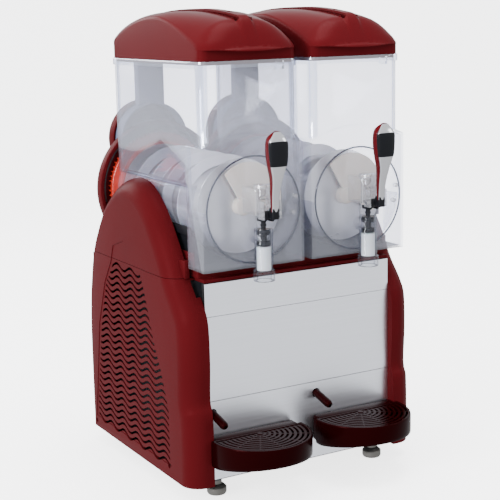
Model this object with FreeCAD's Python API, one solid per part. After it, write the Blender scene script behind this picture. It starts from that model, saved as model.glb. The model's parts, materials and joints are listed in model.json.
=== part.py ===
"""Twin-bowl slush machine: one STEP file per sub-part, in millimetres.

Frame: +X to the right of a person facing the machine, +Y to the back, +Z up.
The origin is on the standing surface, at the middle of the machine's footprint.
The shapes are built with y = 0 near the middle of the cabinet, and footprint_shift
moves them to that frame when they are written.
"""
import FreeCAD
import Part
import math
import os

V = FreeCAD.Vector

# ---- driving dimensions ----
bowl_offset = 102.6        # bowl centre from the machine's middle plane
axis_z = 489.5             # height of the auger axis
body_half = 229.0          # outer face of the side covers
footprint_shift = 41.0     # from the middle of the cabinet to the middle of the footprint
cover_inner = 193.0        # inner face of the upper side covers
seam_z = 375.7             # joint between the lower and the upper side cover
skin = 3.0                 # moulded wall thickness
sheet = 1.5                # sheet metal thickness
gap = 0.3                  # clearance between faces that meet

panel_y = -180.0           # face of the front sheet panels
panel_half = 183.8
panel_bottom = 32.0
panel_top = 370.0
panel_creases = (169.4, 314.0)
chassis_half = 182.0
chassis_back = 187.0
floor_gap = 28.0           # underside of the base above the standing surface

bowl_half = 89.0           # half width of the hopper
bowl_front = -201.7
bowl_back = 138.0
bowl_face = -207.0         # front face of the lower chamber
apron_half = 95.0
apron_bottom = 394.0
rim_z = 729.0
ledge_z = 526.0            # where the hopper steps in to the round chamber
chamber_r = 88.0

spout_y = -235.0           # axis of the vertical outlet tube
spout_r = 15.0
piston_r = 11.9
pivot_y = -257.0           # tap lever's pin
pivot_z = 488.0

evaporator_r = 62.0
auger_r = 82.0
shaft_r = 5.0

tray_half = 88.0           # drip tray half width and front radius
tray_top = 110.0
tray_bottom = 64.0
tray_back = -182.0
tray_centre = -211.0
tray_neck = 80.0           # half width between the front pillars
tray_neck_y = -200.8
tray_ledge_y = -202.6      # front edge of the shelf behind the grid

foot_r = 17.0
foot_x = 161.5
foot_front = -161.0
foot_back = 168.0

sides = (("left", -1.0), ("right", 1.0))
nodes = {}


# ---- helpers ----
def box(x0, x1, y0, y1, z0, z1):
    return Part.makeBox(x1 - x0, y1 - y0, z1 - z0, V(x0, y0, z0))


def rod_x(y, z, r, x0, x1):
    return Part.makeCylinder(r, x1 - x0, V(x0, y, z), V(1, 0, 0))


def rod_y(x, z, r, y0, y1):
    return Part.makeCylinder(r, y1 - y0, V(x, y0, z), V(0, 1, 0))


def rod_z(x, y, r, z0, z1):
    return Part.makeCylinder(r, z1 - z0, V(x, y, z0), V(0, 0, 1))


def fuse(shapes):
    shapes = list(shapes)
    return shapes[0].multiFuse(shapes[1:]).removeSplitter() if len(shapes) > 1 else shapes[0]


def cut(shape, tools):
    return shape.cut(list(tools))


def mirrored(shape):
    return shape.mirror(V(0, 0, 0), V(1, 0, 0))


def moved(shape, x=0.0, y=0.0, z=0.0):
    copy = shape.copy()
    copy.translate(V(x, y, z))
    return copy


def add(name, shapes):
    """Keep one node; a group of pieces stays a compound of separate solids."""
    shapes = shapes if isinstance(shapes, (list, tuple)) else [shapes]
    solids = [solid for shape in shapes for solid in shape.Solids]
    nodes[name] = solids[0] if len(solids) == 1 else Part.makeCompound(solids)


def polygon(points):
    vectors = [V(*p) for p in points]
    return Part.Face(Part.makePolygon(vectors + vectors[:1]))


def spline(points):
    curve = Part.BSplineCurve()
    curve.interpolate([V(*p) for p in points])
    return curve.toShape()


def rounded_box(half_x, y0, y1, z0, z1, radius, x=0.0):
    """Upright block with its four vertical edges rounded."""
    block = box(x - half_x, x + half_x, y0, y1, z0, z1)
    upright = [e for e in block.Edges if abs(e.Vertexes[0].Z - e.Vertexes[1].Z) > 1e-6]
    return block.makeFillet(radius, upright)


def ring_y(x, z, r_in, r_out, y0, y1):
    return rod_y(x, z, r_out, y0, y1).cut(rod_y(x, z, r_in, y0 - 1, y1 + 1))


# ---- side covers ----
# Side view (y, z) of the cover from the bottom of the front pillar, over the arch, down the back.
cover_outline = (
    (-198, 28), (-199, 95), (-197, 152), (-190, 176), (-193, 240), (-190, 304), (-174, 336),
    (-146, 371), (-128, 405), (-102, 443), (-68, 484), (-22, 516), (26, 525), (70, 514),
    (109, 487), (135, 461), (160, 424), (181, 385), (198, 330), (209, 275), (215, 200), (217, 28))
cover_round_front = 33.0   # rounding from the flat side to the edge, front and arch
cover_round_back = 12.0    # the same, low at the back


def cover_wire(inset, x, wall):
    """Outline at one x; inset runs 0 to 1 over the rounding, wall moves it all inwards."""
    points = []
    last = len(cover_outline) - 1
    for i, (y, z) in enumerate(cover_outline):
        before = cover_outline[max(i - 1, 0)]
        after = cover_outline[min(i + 1, last)]
        dy = after[0] - before[0]
        dz = after[1] - before[1]
        length = math.hypot(dy, dz)
        ease = min(max((y - 60.0) / 130.0, 0.0), 1.0)
        rounding = cover_round_front + (cover_round_back - cover_round_front) * ease
        shift = inset * rounding + wall
        lift = 0.0 if i in (0, last) else -dy / length * shift
        points.append((x, y + dz / length * shift, z + lift))
    drop = wall * 4.0
    low_front = (x, points[0][1], points[0][2] - drop)
    low_back = (x, points[-1][1], points[-1][2] - drop)
    edges = [spline(points)]
    if drop > 0:
        edges.append(Part.makeLine(V(*points[-1]), V(*low_back)))
        edges.append(Part.makeLine(V(*low_back), V(*low_front)))
        edges.append(Part.makeLine(V(*low_front), V(*points[0])))
    else:
        edges.append(Part.makeLine(V(*points[-1]), V(*points[0])))
    return Part.Wire(edges)


def cover_body(x_inner, wall, steps=8):
    """Solid with the cover's outer shape, moved inwards by wall, as the left side."""
    outer = body_half - wall
    depth = cover_round_front - wall
    flat_end = outer - depth
    wires = [cover_wire(0.0, -x_inner, wall)] if flat_end - x_inner > 0.5 else []
    wires.append(cover_wire(0.0, -flat_end, wall))
    for i in range(1, steps + 1):
        angle = math.pi / 2 * i / steps
        wires.append(cover_wire(1 - math.cos(angle), -(flat_end + depth * math.sin(angle)), wall))
    return Part.makeLoft(wires, True, True)


# Wave vents in the flat side, rows inside an arched field.
vent_field_front = ((50, -128), (150, -128), (261, -80), (326, -53), (370, -28))
vent_field_back = ((50, 195), (72, 193), (240, 163), (324, 129), (370, 97))
vent_first_z = 52.0
vent_pitch = 12.0
vent_rows = 27
vent_wave = 57.0
vent_swing = 4.5
vent_slot = 4.6
field_recess = 1.0


def along(table, z):
    for (z0, v0), (z1, v1) in zip(table, table[1:]):
        if z <= z1:
            return v0 + (v1 - v0) * (z - z0) / (z1 - z0)
    return table[-1][1]


def vent_slots():
    slots = []
    for row in range(vent_rows):
        z = vent_first_z + row * vent_pitch
        front = along(vent_field_front, z) + 7
        back = along(vent_field_back, z) - 7
        count = int((back - front) / vent_wave * 8)
        edges = []
        for side in (-0.5, 0.5):
            points = []
            for i in range(count + 1):
                y = front + (back - front) * i / count
                wave = vent_swing * math.sin(y / vent_wave * 2 * math.pi)
                points.append((-body_half - 1, y, z + wave + side * vent_slot))
            edges.append(points)
        low, high = edges
        wire = Part.Wire([spline(low), Part.makeLine(V(*low[-1]), V(*high[-1])),
                          spline(high[::-1]), Part.makeLine(V(*high[0]), V(*low[0]))])
        slots.append(Part.Face(wire).extrude(V(skin + 2, 0, 0)))
    return slots


def field_pocket():
    points = [(-body_half - 1, y, z) for z, y in vent_field_front]
    points += [(-body_half - 1, y, z) for z, y in reversed(vent_field_back)]
    return polygon(points).extrude(V(1 + field_recess, 0, 0))


cover_screws = ((-118.0, 48.0), (196.0, 40.0))   # (y, z) of the screw bosses


def side_covers():
    outer = cover_body(chassis_half + 2.0, 0.0)
    inner = cover_body(chassis_half + 2.0 + skin, skin)
    doorway = box(-chassis_half - 6, -chassis_half, -166, 190, 0, 600)
    lower = cut(outer, [inner, doorway.common(cover_body(chassis_half - 1, skin))])
    lower = cut(lower, [box(-240, -100, -300, 300, seam_z - gap, 600), field_pocket()])
    lower = cut(lower, vent_slots())
    bosses = [rod_x(y, z, 7, -body_half + 1, -chassis_half - gap) for y, z in cover_screws]
    lower = fuse([lower] + bosses)
    lower = cut(lower, [rod_x(y, z, 4.5, -240, -body_half + 7) for y, z in cover_screws])
    lower = cut(lower, [rod_x(y, z, 2.2, -240, -100) for y, z in cover_screws])
    shell = cover_body(cover_inner, 0.0).cut(cover_body(cover_inner + skin, skin))
    upper = shell.cut(box(-240, -100, -300, 300, 0, seam_z + gap))
    rib = box(-203, -cover_inner - 1, -149, -126, seam_z + gap, 406)
    upper = fuse([upper, rib]).cut(rod_y(-bowl_offset, axis_z, seal_r + 0.8, 137, 151))
    add("side_cover_lower_left", lower)
    add("side_cover_lower_right", mirrored(lower))
    add("side_cover_upper_left", upper)
    add("side_cover_upper_right", mirrored(upper))


# ---- chassis, panels, deck ----
def base_and_chassis():
    half = chassis_half - 2.5
    tray = box(-half, half, -174, 184, floor_gap, floor_gap + 2)
    lips = [box(-half, -half + 2, -174, 184, floor_gap, 46), box(half - 2, half, -174, 184, floor_gap, 46),
            box(-half, half, -174, -172, floor_gap, 46), box(-half, half, 182, 184, floor_gap, 46)]
    tray = fuse([tray] + lips)
    studs = [rod_z(x, y, 4.6, 0, 60) for x in (-foot_x, foot_x) for y in (foot_front, foot_back)]
    add("base_tray", cut(tray, studs))
    plates = []
    for side in (-1, 1):
        plate = box(-chassis_half, -chassis_half + 2, -177, chassis_back, floor_gap, panel_top)
        front = box(-chassis_half, -160, -177, -175, floor_gap, panel_top)
        back = box(-chassis_half, -160, chassis_back - 2, chassis_back, floor_gap, panel_top)
        vents = [box(-190, -170, y, y + 42, z, z + 52)
                 for y in (-130, -70, -10, 50, 110) for z in (70, 140, 210, 280)]
        plate = cut(fuse([plate, front, back]), vents)
        plate = cut(plate, [rod_x(y, z, 2.1, -190, -170) for y, z in cover_screws])
        plates.append(plate if side < 0 else mirrored(plate))
    add("chassis_sides", plates)


drain_x = 72.5             # drain spout, to the left of each bowl's centre
drain_z = 149.0
drain_r = 7.0
drain_dip = 14.0           # degrees below level
hook_half = 46.0           # drip tray hooks either side of the tray's centre
hook_z = 92.0


def front_panels():
    def pan(z0, z1):
        face = box(-panel_half, panel_half, panel_y, panel_y + sheet, z0, z1)
        folds = [box(-panel_half, panel_half, panel_y, -177.2, z0, z0 + sheet),
                 box(-panel_half, panel_half, panel_y, -177.2, z1 - sheet, z1)]
        return fuse([face] + folds)
    low, high = panel_creases
    lower = pan(panel_bottom, low - gap)
    holes = []
    for _, side in sides:
        x = side * bowl_offset
        holes.append(rod_y(x - drain_x, drain_z, drain_r + 1.2, -190, -170))
        for hook in (-hook_half, hook_half):
            holes.append(box(x + hook - 8.5, x + hook + 8.5, -190, -170, hook_z - 6.5, hook_z + 6.5))
    add("front_panel_lower", cut(lower, holes))
    add("front_panel_middle", pan(low + gap, high - gap))
    add("front_panel_upper", pan(high + gap, panel_top))


def drain_spouts():
    spouts = []
    for _, side in sides:
        x = side * bowl_offset - drain_x
        dip = math.radians(drain_dip)
        start = V(x, panel_y + 0.2, drain_z)
        direction = V(0, -math.cos(dip), -math.sin(dip))
        tube = Part.makeCylinder(drain_r, 40, start, direction)
        nose = Part.makeSphere(drain_r, start + direction * 40)
        spouts.append(fuse([tube, nose]).cut(Part.makeCylinder(3, 60, start, direction)))
    add("drain_spouts", spouts)


cradle_front = -148.0
cradle_top = 460.0
deck_top = 392.0


def deck_and_cradle():
    deck = fuse([
        box(-chassis_half - 1.5, chassis_half + 1.5, -178, chassis_back, panel_top + 1, seam_z + 1),
        box(-187, 187, -165, chassis_back, seam_z + 1, deck_top),
        box(-187, -184, -150, 134, deck_top - 1, 417),
        box(184, 187, -150, 134, deck_top - 1, 417)])
    hollow = box(-175, 175, -158, 132, panel_top, deck_top - skin)
    seal_room = [rod_y(side * bowl_offset, axis_z, 102.5, 137.5, 150.2) for _, side in sides]
    add("deck", cut(deck, [hollow] + seal_room))
    cradle = fuse([box(-183.5, 183.5, cradle_front, 136, deck_top + gap, 445),
                   box(-188.5, 188.5, cradle_front, 136, 445, cradle_top)])
    channels = [rod_y(side * bowl_offset, axis_z, chamber_r + 1.5, -200, 200) for _, side in sides]
    cores = [box(-12, 12, cradle_front + 6, 130, deck_top, 440)]
    add("bowl_cradle", cut(cradle, channels + cores))


def rear_panel():
    face = chassis_back + 0.2
    sheet_plate = box(-180, 180, face, face + sheet, panel_bottom, panel_top - 4)
    slots = [box(x, x + 46, 150, 200, 70 + row * 14, 74 + row * 14)
             for x in (-160, -104, 58, 114) for row in range(14)]
    holes = [rod_y(x, z, 2.2, 150, 200) for x, z in rear_screws]
    sockets = [box(x - 7, x + 7, 150, 200, switch_z - 11, switch_z + 11) for x in switch_x]
    inlet = rod_y(inlet_x, inlet_z, 10.2, 150, 200)
    add("rear_panel", cut(sheet_plate, slots + holes + sockets + [inlet]))


rear_screws = tuple((x, z) for x in (-172.0, 172.0) for z in (46.0, 200.0, 352.0))
switch_x = (-40.0, 0.0, 40.0)
switch_z = 330.0
inlet_x = 0.0
inlet_z = 80.0


def screw(base, direction, length):
    """Pan-head screw; base is under the head and direction points out of the head."""
    head = Part.makeCylinder(4, 2.4, base, direction)
    slot = Part.makeBox(8, 1.2, 1.4, V(-4, -0.6, 1.2))
    slot.Placement = FreeCAD.Placement(base, FreeCAD.Rotation(V(0, 0, 1), direction))
    shank = Part.makeCylinder(2, length, base - direction * length, direction)
    return fuse([head.cut(slot), shank])


def screws():
    group = []
    for y, z in cover_screws:
        for side in (-1, 1):
            group.append(screw(V(side * (body_half - 7), y, z), V(side, 0, 0), 47))
    for x, z in rear_screws:
        group.append(screw(V(x, chassis_back + 0.2 + sheet, z), V(0, 1, 0), 1.6))
    add("panel_screws", group)


def cable_inlet():
    gland = fuse([rod_y(inlet_x, inlet_z, 10, chassis_back - 6, chassis_back + 2),
                  rod_y(inlet_x, inlet_z, 14, chassis_back + 2, chassis_back + 8),
                  Part.makeCone(11, 8, 14, V(inlet_x, chassis_back + 8, inlet_z), V(0, 1, 0))])
    add("cable_inlet", gland.cut(rod_y(inlet_x, inlet_z, 4, 100, 300)))


def rocker_switches():
    for index, x in enumerate(switch_x):
        y = chassis_back + 1.7
        body = box(x - 6.6, x + 6.6, y - 9, y + 1.0, switch_z - 10.6, switch_z + 10.6)
        profile = polygon([(x - 5.5, y + 1.0, switch_z - 10), (x - 5.5, y + 5.5, switch_z - 9.5),
                           (x - 5.5, y + 2.6, switch_z), (x - 5.5, y + 3.4, switch_z + 10),
                           (x - 5.5, y + 1.0, switch_z + 10)])
        add("rocker_switch_%d" % (index + 1), fuse([body.common(rod_x(y - 2, switch_z, 10.0, x - 6, x + 6)),
                                                    profile.extrude(V(11, 0, 0))]))


# ---- back wall, drives, evaporators ----
flange_r = 121.0
seal_r = 101.5


def round_pair(radius, y0, y1):
    return fuse([rod_y(side * bowl_offset, axis_z, radius, y0, y1) for _, side in sides])


def bulkhead():
    plate = fuse([round_pair(flange_r, 150, 158), box(-183, 183, 150, 158, deck_top + gap, axis_z)])
    collar = round_pair(flange_r, 139, 150.5).cut(round_pair(flange_r - 7, 130, 160))
    keep = box(-300, 300, 100, 200, deck_top + gap, 700)
    wall = fuse([plate, collar]).common(keep)
    bores = [rod_y(side * bowl_offset, axis_z, 12, 100, 200) for _, side in sides]
    pockets = [rod_y(side * bowl_offset, axis_z, 60, 153, 159) for _, side in sides]
    envelope = cover_body(cover_inner - 0.6, -0.6, 4)
    add("bulkhead", cut(wall, bores + pockets + [envelope, mirrored(envelope)]))
    gasket = round_pair(flange_r - 7.4, 144, 149.8).cut(round_pair(flange_r - 12, 130, 160))
    add("housing_gasket", gasket.common(box(-300, 300, 100, 200, axis_z - 20, 700)))


def bowl_seals():
    rings = []
    for _, side in sides:
        x = side * bowl_offset
        base = fuse([ring_y(x, axis_z, 80, 84.6, 128, 139),
                     ring_y(x, axis_z, 80, seal_r - 3, 138.3, 149.7)])
        ribs = []
        for i in range(60):
            rib = Part.makeBox(4.2, 11.0, 1.8, V(seal_r - 4.4, 138.5, -0.9))
            rib.rotate(V(0, 0, 0), V(0, 1, 0), i * 6.0)
            rib.translate(V(x, 0, axis_z))
            ribs.append(rib)
        rings.append(fuse([base] + ribs))
    add("bowl_seals", rings)


def evaporators():
    drums = []
    for _, side in sides:
        x = side * bowl_offset
        shell = rod_y(x, axis_z, evaporator_r, -138, 149.7)
        shell = shell.cut(rod_y(x, axis_z, evaporator_r - 1.5, -136.5, 148.2))
        dome = Part.makeCone(evaporator_r, 40, 8, V(x, -138, axis_z), V(0, -1, 0))
        flange = ring_y(x, axis_z, evaporator_r, 79.7, 141, 149.7)
        tube = rod_y(x, axis_z, 8, -146, 149.7)
        drum = fuse([shell, dome, flange, tube])
        drums.append(drum.cut(rod_y(x, axis_z, shaft_r + 0.08, -200, 200)))
    add("evaporators", drums)


housing_half = 66.0
dome_base = 396.0
neck_half = 26.0
neck_top = 735.0


def dome_face(grow, y):
    """Outline of the drive housing: upright sides, round shoulders and a narrow neck root."""
    half = housing_half + grow
    points = [V(-half, y, dome_base), V(-half, y, 560), V(0, y, 644 + grow),
              V(half, y, 560), V(half, y, dome_base)]
    arc = Part.Arc(points[1], points[2], points[3]).toShape()
    wire = Part.Wire([Part.makeLine(points[0], points[1]), arc, Part.makeLine(points[3], points[4]),
                      Part.makeLine(points[4], points[0])])
    return Part.Face(wire)


def drive_housings():
    housing = dome_face(0, 158.3).extrude(V(0, 27.5, 0)).cut(dome_face(-skin, 150).extrude(V(0, 60, 0)))
    neck = box(-neck_half, neck_half, 166, 184, 636, neck_top)
    neck = neck.cut(box(-23, 23, 169, 181, 600, neck_top - 3))
    neck = neck.cut(dome_face(-skin, 150).extrude(V(0, 60, 0)))
    cover = dome_face(4, 186.1).extrude(V(0, 26, 0))
    back_edges = [e for e in cover.Edges if all(abs(v.Y - 212.1) < 1e-6 for v in e.Vertexes)]
    rim = [e for e in back_edges if abs(e.CenterOfMass.z - dome_base) > 1]
    cover = cover.makeFillet(5, rim)
    cover = cover.cut(dome_face(1, 180).extrude(V(0, 29, 0)))
    slots = [box(-32, 32, 195, 230, 470 + 12 * i, 475 + 12 * i) for i in range(8)]
    cover = cut(cover, slots)
    housings = fuse([housing, neck])
    add("motor_housings", [moved(housings, side * bowl_offset) for _, side in sides])
    add("motor_covers", [moved(cover, side * bowl_offset) for _, side in sides])


def gearmotors():
    motors = []
    for _, side in sides:
        x = side * bowl_offset
        gearbox = rounded_box(46, 159, 196, 440, 540, 10, x)
        gearbox = gearbox.cut(rounded_box(42, 163, 192, 444, 536, 8, x))
        can = rod_y(x, 578, 33, 160, 204).cut(rod_y(x, 578, 29, 164, 200))
        hub = rod_y(x, axis_z, 14, 158.5, 200)
        unit = fuse([gearbox, can, hub, box(x - 20, x + 20, 170, 190, 536, 552)])
        motors.append(unit.cut(rod_y(x, axis_z, shaft_r + 0.08, 100, 300)))
    add("gearmotors", motors)


def augers():
    for name, side in sides:
        x = side * bowl_offset
        turn = 58.0
        length = 232.0
        r_mid = (auger_r + evaporator_r + 2) / 2
        helix = Part.makeHelix(turn, length, r_mid, 0.0, side < 0)
        width = auger_r - evaporator_r - 2
        profile = Part.makePolygon([V(r_mid - width / 2, 0, -2.5), V(r_mid + width / 2, 0, -2.5),
                                    V(r_mid + width / 2, 0, 2.5), V(r_mid - width / 2, 0, 2.5),
                                    V(r_mid - width / 2, 0, -2.5)])
        flight = Part.Wire(helix).makePipeShell([profile], True, True)
        flight.rotate(V(0, 0, 0), V(1, 0, 0), 90)
        flight.translate(V(x, 112, axis_z))
        # The flight ends in front of the drum, where an arm and a thin plate tie it to the hub.
        end_angle = length / turn * 360.0 * (-1 if side < 0 else 1)
        arm = box(0, auger_r - 4, -157, -149, -7, 7)
        tie = box(evaporator_r + 3, auger_r - 1, -157, -116, -6, 6)
        hub = rod_y(0, 0, 15, -176, -148)
        paddle = rod_y(0, 0, auger_r - 4, -172, -167)
        paddle = paddle.common(polygon([(0, -175, 0), (130, -175, -40), (130, -175, 130), (-75, -175, 130)])
                               .extrude(V(0, 20, 0)))
        plate = rod_y(0, 0, auger_r - 3, -160, -156.5)
        front = fuse([arm, tie, hub, paddle, plate])
        front.rotate(V(0, 0, 0), V(0, 1, 0), end_angle)
        front.translate(V(x, 0, axis_z))
        whole = fuse([flight, front]).cut(rod_y(x, axis_z, shaft_r, -166, 100))
        add("auger_" + name, whole)
        shaft = rod_y(x, axis_z, shaft_r, -166, 198)
        add("drive_shaft_" + name, shaft)


# ---- bowls ----
def bowl_solid():
    """One bowl about x = 0, with the tap's outlet moulded on its front."""
    hopper = rounded_box(bowl_half, bowl_front, bowl_back, ledge_z, rim_z, 15)
    hopper_in = rounded_box(bowl_half - skin, bowl_front + skin, bowl_back - skin,
                            ledge_z + skin, rim_z + 5, 12)
    rim = rounded_box(bowl_half + 3, bowl_front - 3, bowl_back + 2, rim_z - 11, rim_z, 17)
    chamber = rod_y(0, axis_z, chamber_r, bowl_face + 4, bowl_back)
    chamber_in = rod_y(0, axis_z, chamber_r - skin, bowl_face + skin, bowl_back + 5)

    def apron(grow, y0, y1):
        half = apron_half + grow
        top = 615 + grow
        points = [V(-half, y0, apron_bottom - grow), V(-half, y0, 594 + grow), V(0, y0, top),
                  V(half, y0, 594 + grow), V(half, y0, apron_bottom - grow)]
        arc = Part.Arc(points[1], points[2], points[3]).toShape()
        wire = Part.Wire([Part.makeLine(points[0], points[1]), arc, Part.makeLine(points[3], points[4]),
                          Part.makeLine(points[4], points[0])])
        return Part.Face(wire).extrude(V(0, y1 - y0, 0))

    front = apron(0, bowl_face, -152)
    front_in = apron(-skin, bowl_face + skin, -152 - skin)
    above = box(-200, 200, -300, 200, axis_z, 700)
    below = box(-200, 200, -300, 200, 300, axis_z)
    skirt_hollow = apron(-skin, bowl_face + skin, -150).common(below)
    skirt_hollow = skirt_hollow.cut(rod_y(0, axis_z, chamber_r, -300, 300))
    tab = box(46, 60, bowl_front - 6, bowl_front, rim_z - 16, rim_z - 3)
    body = fuse([hopper, rim, chamber, front, tab])
    body = cut(body, [hopper_in, chamber_in, front_in.common(above), skirt_hollow])
    groove = ring_y(0, axis_z, chamber_r - 2, chamber_r, bowl_face - 1, bowl_face + 1)
    body = body.cut(groove)
    pegs = [rod_y(75, axis_z + 16, 3.5, bowl_face - 8, bowl_face + 1),
            rod_y(70, axis_z - 10, 3.5, bowl_face - 8, bowl_face + 1)]
    tube = rod_z(0, spout_y, spout_r, 378, 462)
    lip = rod_z(0, spout_y, spout_r + 2.5, 377, 394)
    duct = rod_y(0, 447, 12, spout_y + 4, bowl_face + 1)
    web = box(-2, 2, spout_y + 6, bowl_face + 1, 400, 485)
    block = rounded_box(22, -250, bowl_face + 1, 487, 529, 3)
    cap = rod_z(0, spout_y, 15, 527, 534)
    ears = [box(x, x + 3.5, pivot_y - 7, -248, pivot_z - 7, 510) for x in (-17.5, 14.0)]
    body = fuse([body, tube, lip, duct, web, block, cap] + ears + pegs)
    hollow = [rod_z(0, spout_y, 12, 370, 470), rod_z(0, spout_y, 12, 480, 528),
              rod_y(0, 447, 8.5, spout_y, bowl_face + 8),
              box(-13.8, 13.8, -249, -214, 462, 487.5),
              box(-13.8, 13.8, -275, -235, 462, 516),
              rod_x(pivot_y, pivot_z, 3, -30, 30)]
    return cut(body, hollow)


def tap_pieces():
    """Piston, spring and lever about x = 0."""
    piston = fuse([rod_z(0, spout_y, piston_r - 0.9, 434, 462), rod_z(0, spout_y, 4, 460, 486),
                   rod_z(0, spout_y, 5.2, 466, 470), rod_z(0, spout_y, 9.5, 485.2, 489),
                   rod_z(0, spout_y, 3.5, 488, 500)])
    piston = piston.cut(ring_waist(spout_y, 6, piston_r + 2, 442, 452))
    rings = [torus_ring(spout_y, piston_r - 1.6, 1.5, z) for z in (437.5, 457)]
    piston = fuse([piston] + rings)
    return piston


def ring_waist(y, r_in, r_out, z0, z1):
    return rod_z(0, y, r_out, z0, z1).cut(rod_z(0, y, r_in, z0 - 1, z1 + 1))


def torus_ring(y, radius, section, z):
    return Part.makeTorus(radius, section, V(0, y, z), V(0, 0, 1))


def tap_spring():
    coil = Part.makeHelix(6.2, 34.0, 8.0)
    profile = Part.Wire(Part.makeCircle(0.9, V(8.0, 0, 0), V(0, 1, 0)))
    spring = Part.Wire(coil).makePipeShell([profile], True, True)
    spring.translate(V(0, spout_y, 491))
    return spring


def paddle_outline():
    """Front view of the lever: narrow stalk, wide rounded grip."""
    side = [(6, 482), (6.5, 520), (9, 540), (14.5, 560), (16.5, 585), (15.5, 606), (10, 619)]
    right = [(x, -330, z) for x, z in side]
    left = [(-x, -330, z) for x, z in reversed(side)]
    wire = Part.Wire([spline(right), Part.Arc(V(*right[-1]), V(0, -330, 622), V(*left[0])).toShape(),
                      spline(left), Part.makeLine(V(*left[-1]), V(*right[0]))])
    return Part.Face(wire).extrude(V(0, 120, 0))


# Lever in side view: back edge, joint line between the red back and the bright front, front edge.
lever_back = ((-266, 494), (-263, 520), (-264, 546), (-263, 569), (-261, 592), (-266, 612), (-280, 623))
lever_joint = ((-271, 494), (-273, 520), (-278, 546), (-280, 569), (-279, 590), (-280, 606), (-284, 618))
lever_front = ((-276, 494), (-278, 520), (-285, 546), (-290, 569), (-292, 590), (-291, 606), (-284, 623))


def slab(first, second):
    """Solid between two side-view curves, over the full width."""
    a = [(-40, y, z) for y, z in first]
    b = [(-40, y, z) for y, z in reversed(second)]
    edges = [spline(a), Part.makeLine(V(*a[-1]), V(*b[0])), spline(b), Part.makeLine(V(*b[-1]), V(*a[0]))]
    return Part.Face(Part.Wire(edges)).extrude(V(80, 0, 0))


def lever_pieces():
    paddle = paddle_outline()
    shifted = tuple((y + 0.1, z) for y, z in lever_joint)
    back = slab(lever_back, shifted).common(paddle)
    front = slab(lever_joint, lever_front).common(paddle)
    band_zone = box(-30, 30, -330, -200, 566, 605)
    sleeve = slab(lever_joint, tuple((y - 1.2, z) for y, z in lever_front)).common(band_zone)
    core = slab(lever_joint, tuple((y + 2.2, z) for y, z in lever_front))
    band = sleeve.common(paddle).cut(core)
    front = front.cut(band)
    bar = fuse([box(-5.8, 5.8, -277, -262, 480, 500), rod_x(pivot_y, pivot_z, 7, -12, 12),
                box(-12, 12, -270, pivot_y, pivot_z - 6, pivot_z + 6)])
    prongs = []
    for x0 in (-9.0, 5.5):
        prong = box(x0, x0 + 3.5, pivot_y, spout_y + 5, 475.0, 481.0)
        arm = polygon([(x0, pivot_y - 5, pivot_z - 5), (x0, pivot_y + 5, pivot_z - 5), (x0, spout_y - 6, 481),
                       (x0, spout_y - 6, 475), (x0, pivot_y + 4, 475)]).extrude(V(3.5, 0, 0))
        prongs += [prong.common(box(-20, 20, spout_y - 8, spout_y + 5, 400, 600)), arm]
    yoke = fuse([bar] + prongs)
    yoke = yoke.cut(rod_x(pivot_y, pivot_z, 3.06, -40, 40))
    front = fuse([front.cut(box(-40, 40, -300, -240, 400, 500)), yoke])
    back = back.cut(box(-40, 40, -300, -240, 400, 500.2))
    return front, back, band


def bowls_and_taps():
    bowl = bowl_solid()
    piston = tap_pieces()
    spring = tap_spring()
    front, back, band = lever_pieces()
    pin = rod_x(pivot_y, pivot_z, 3, -19.5, 19.5)
    for name, side in sides:
        x = side * bowl_offset
        add("bowl_" + name, moved(bowl, x))
        add("tap_piston_" + name, moved(piston, x))
        add("tap_spring_" + name, moved(spring, x))
        add("lever_front_" + name, moved(front, x))
        add("lever_back_" + name, moved(back, x))
        add("lever_band_" + name, moved(band, x))
        add("lever_pin_" + name, moved(pin, x))


# ---- lids ----
lid_back = 138.0
lid_bow = 19.0             # how far the peak bows out in front of the skirt
peak_z = 747.0
groove_front = -188.0
groove_back = 83.0


def lid_side_z(y):
    d = y + 43.0
    if d > 0:
        return 800.0 - 25.0 * (d / 142.0) ** 2.2
    return 800.0 - 19.0 * (-d / 114.0) ** 2.1


def lid_ridge_z(y):
    d = y + 45.0
    if d > 0:
        return 812.0 - 4.0 * (d / 128.0) ** 3 - 0.012 * max(y - 90.0, 0.0) ** 2
    return 812.0 - 10.0 * (-d / 125.0) ** 1.8 - 0.032 * max(-180.0 - y, 0.0) ** 2


def lid_loft(wall, low):
    wires = []
    for y in (138, 118, 96, 60, 10, -45, -100, -150, -180, -195, -208, -224):
        side = max(lid_side_z(y) - wall, 735.0)
        ridge = max(lid_ridge_z(y) - wall, side + 1.0)
        half = bowl_half + 1
        a, b, c, d = V(-half, y, low), V(-half, y, side), V(half, y, side), V(half, y, low)
        arc = Part.Arc(b, V(0, y, ridge), c).toShape()
        wires.append(Part.Wire([Part.makeLine(a, b), arc, Part.makeLine(c, d), Part.makeLine(d, a)]))
    return Part.makeLoft(wires, True, True)


def lid_plan(wall, bow):
    """Upright prism of the lid's plan: straight sides, rounded corners, bowed front."""
    half = bowl_half - wall
    y0 = bowl_front - 1.0 + wall
    prism = rounded_box(half, y0, lid_back - wall, 700, 830, 14 - wall)
    if bow <= 0:
        return prism
    left, middle, right = V(-half + 1, y0 + 13, 700), V(0, y0 - bow, 700), V(half - 1, y0 + 13, 700)
    lens = Part.Face(Part.Wire([Part.Arc(left, middle, right).toShape(), Part.makeLine(right, left)]))
    return fuse([prism, lens.extrude(V(0, 0, 130))])


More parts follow.
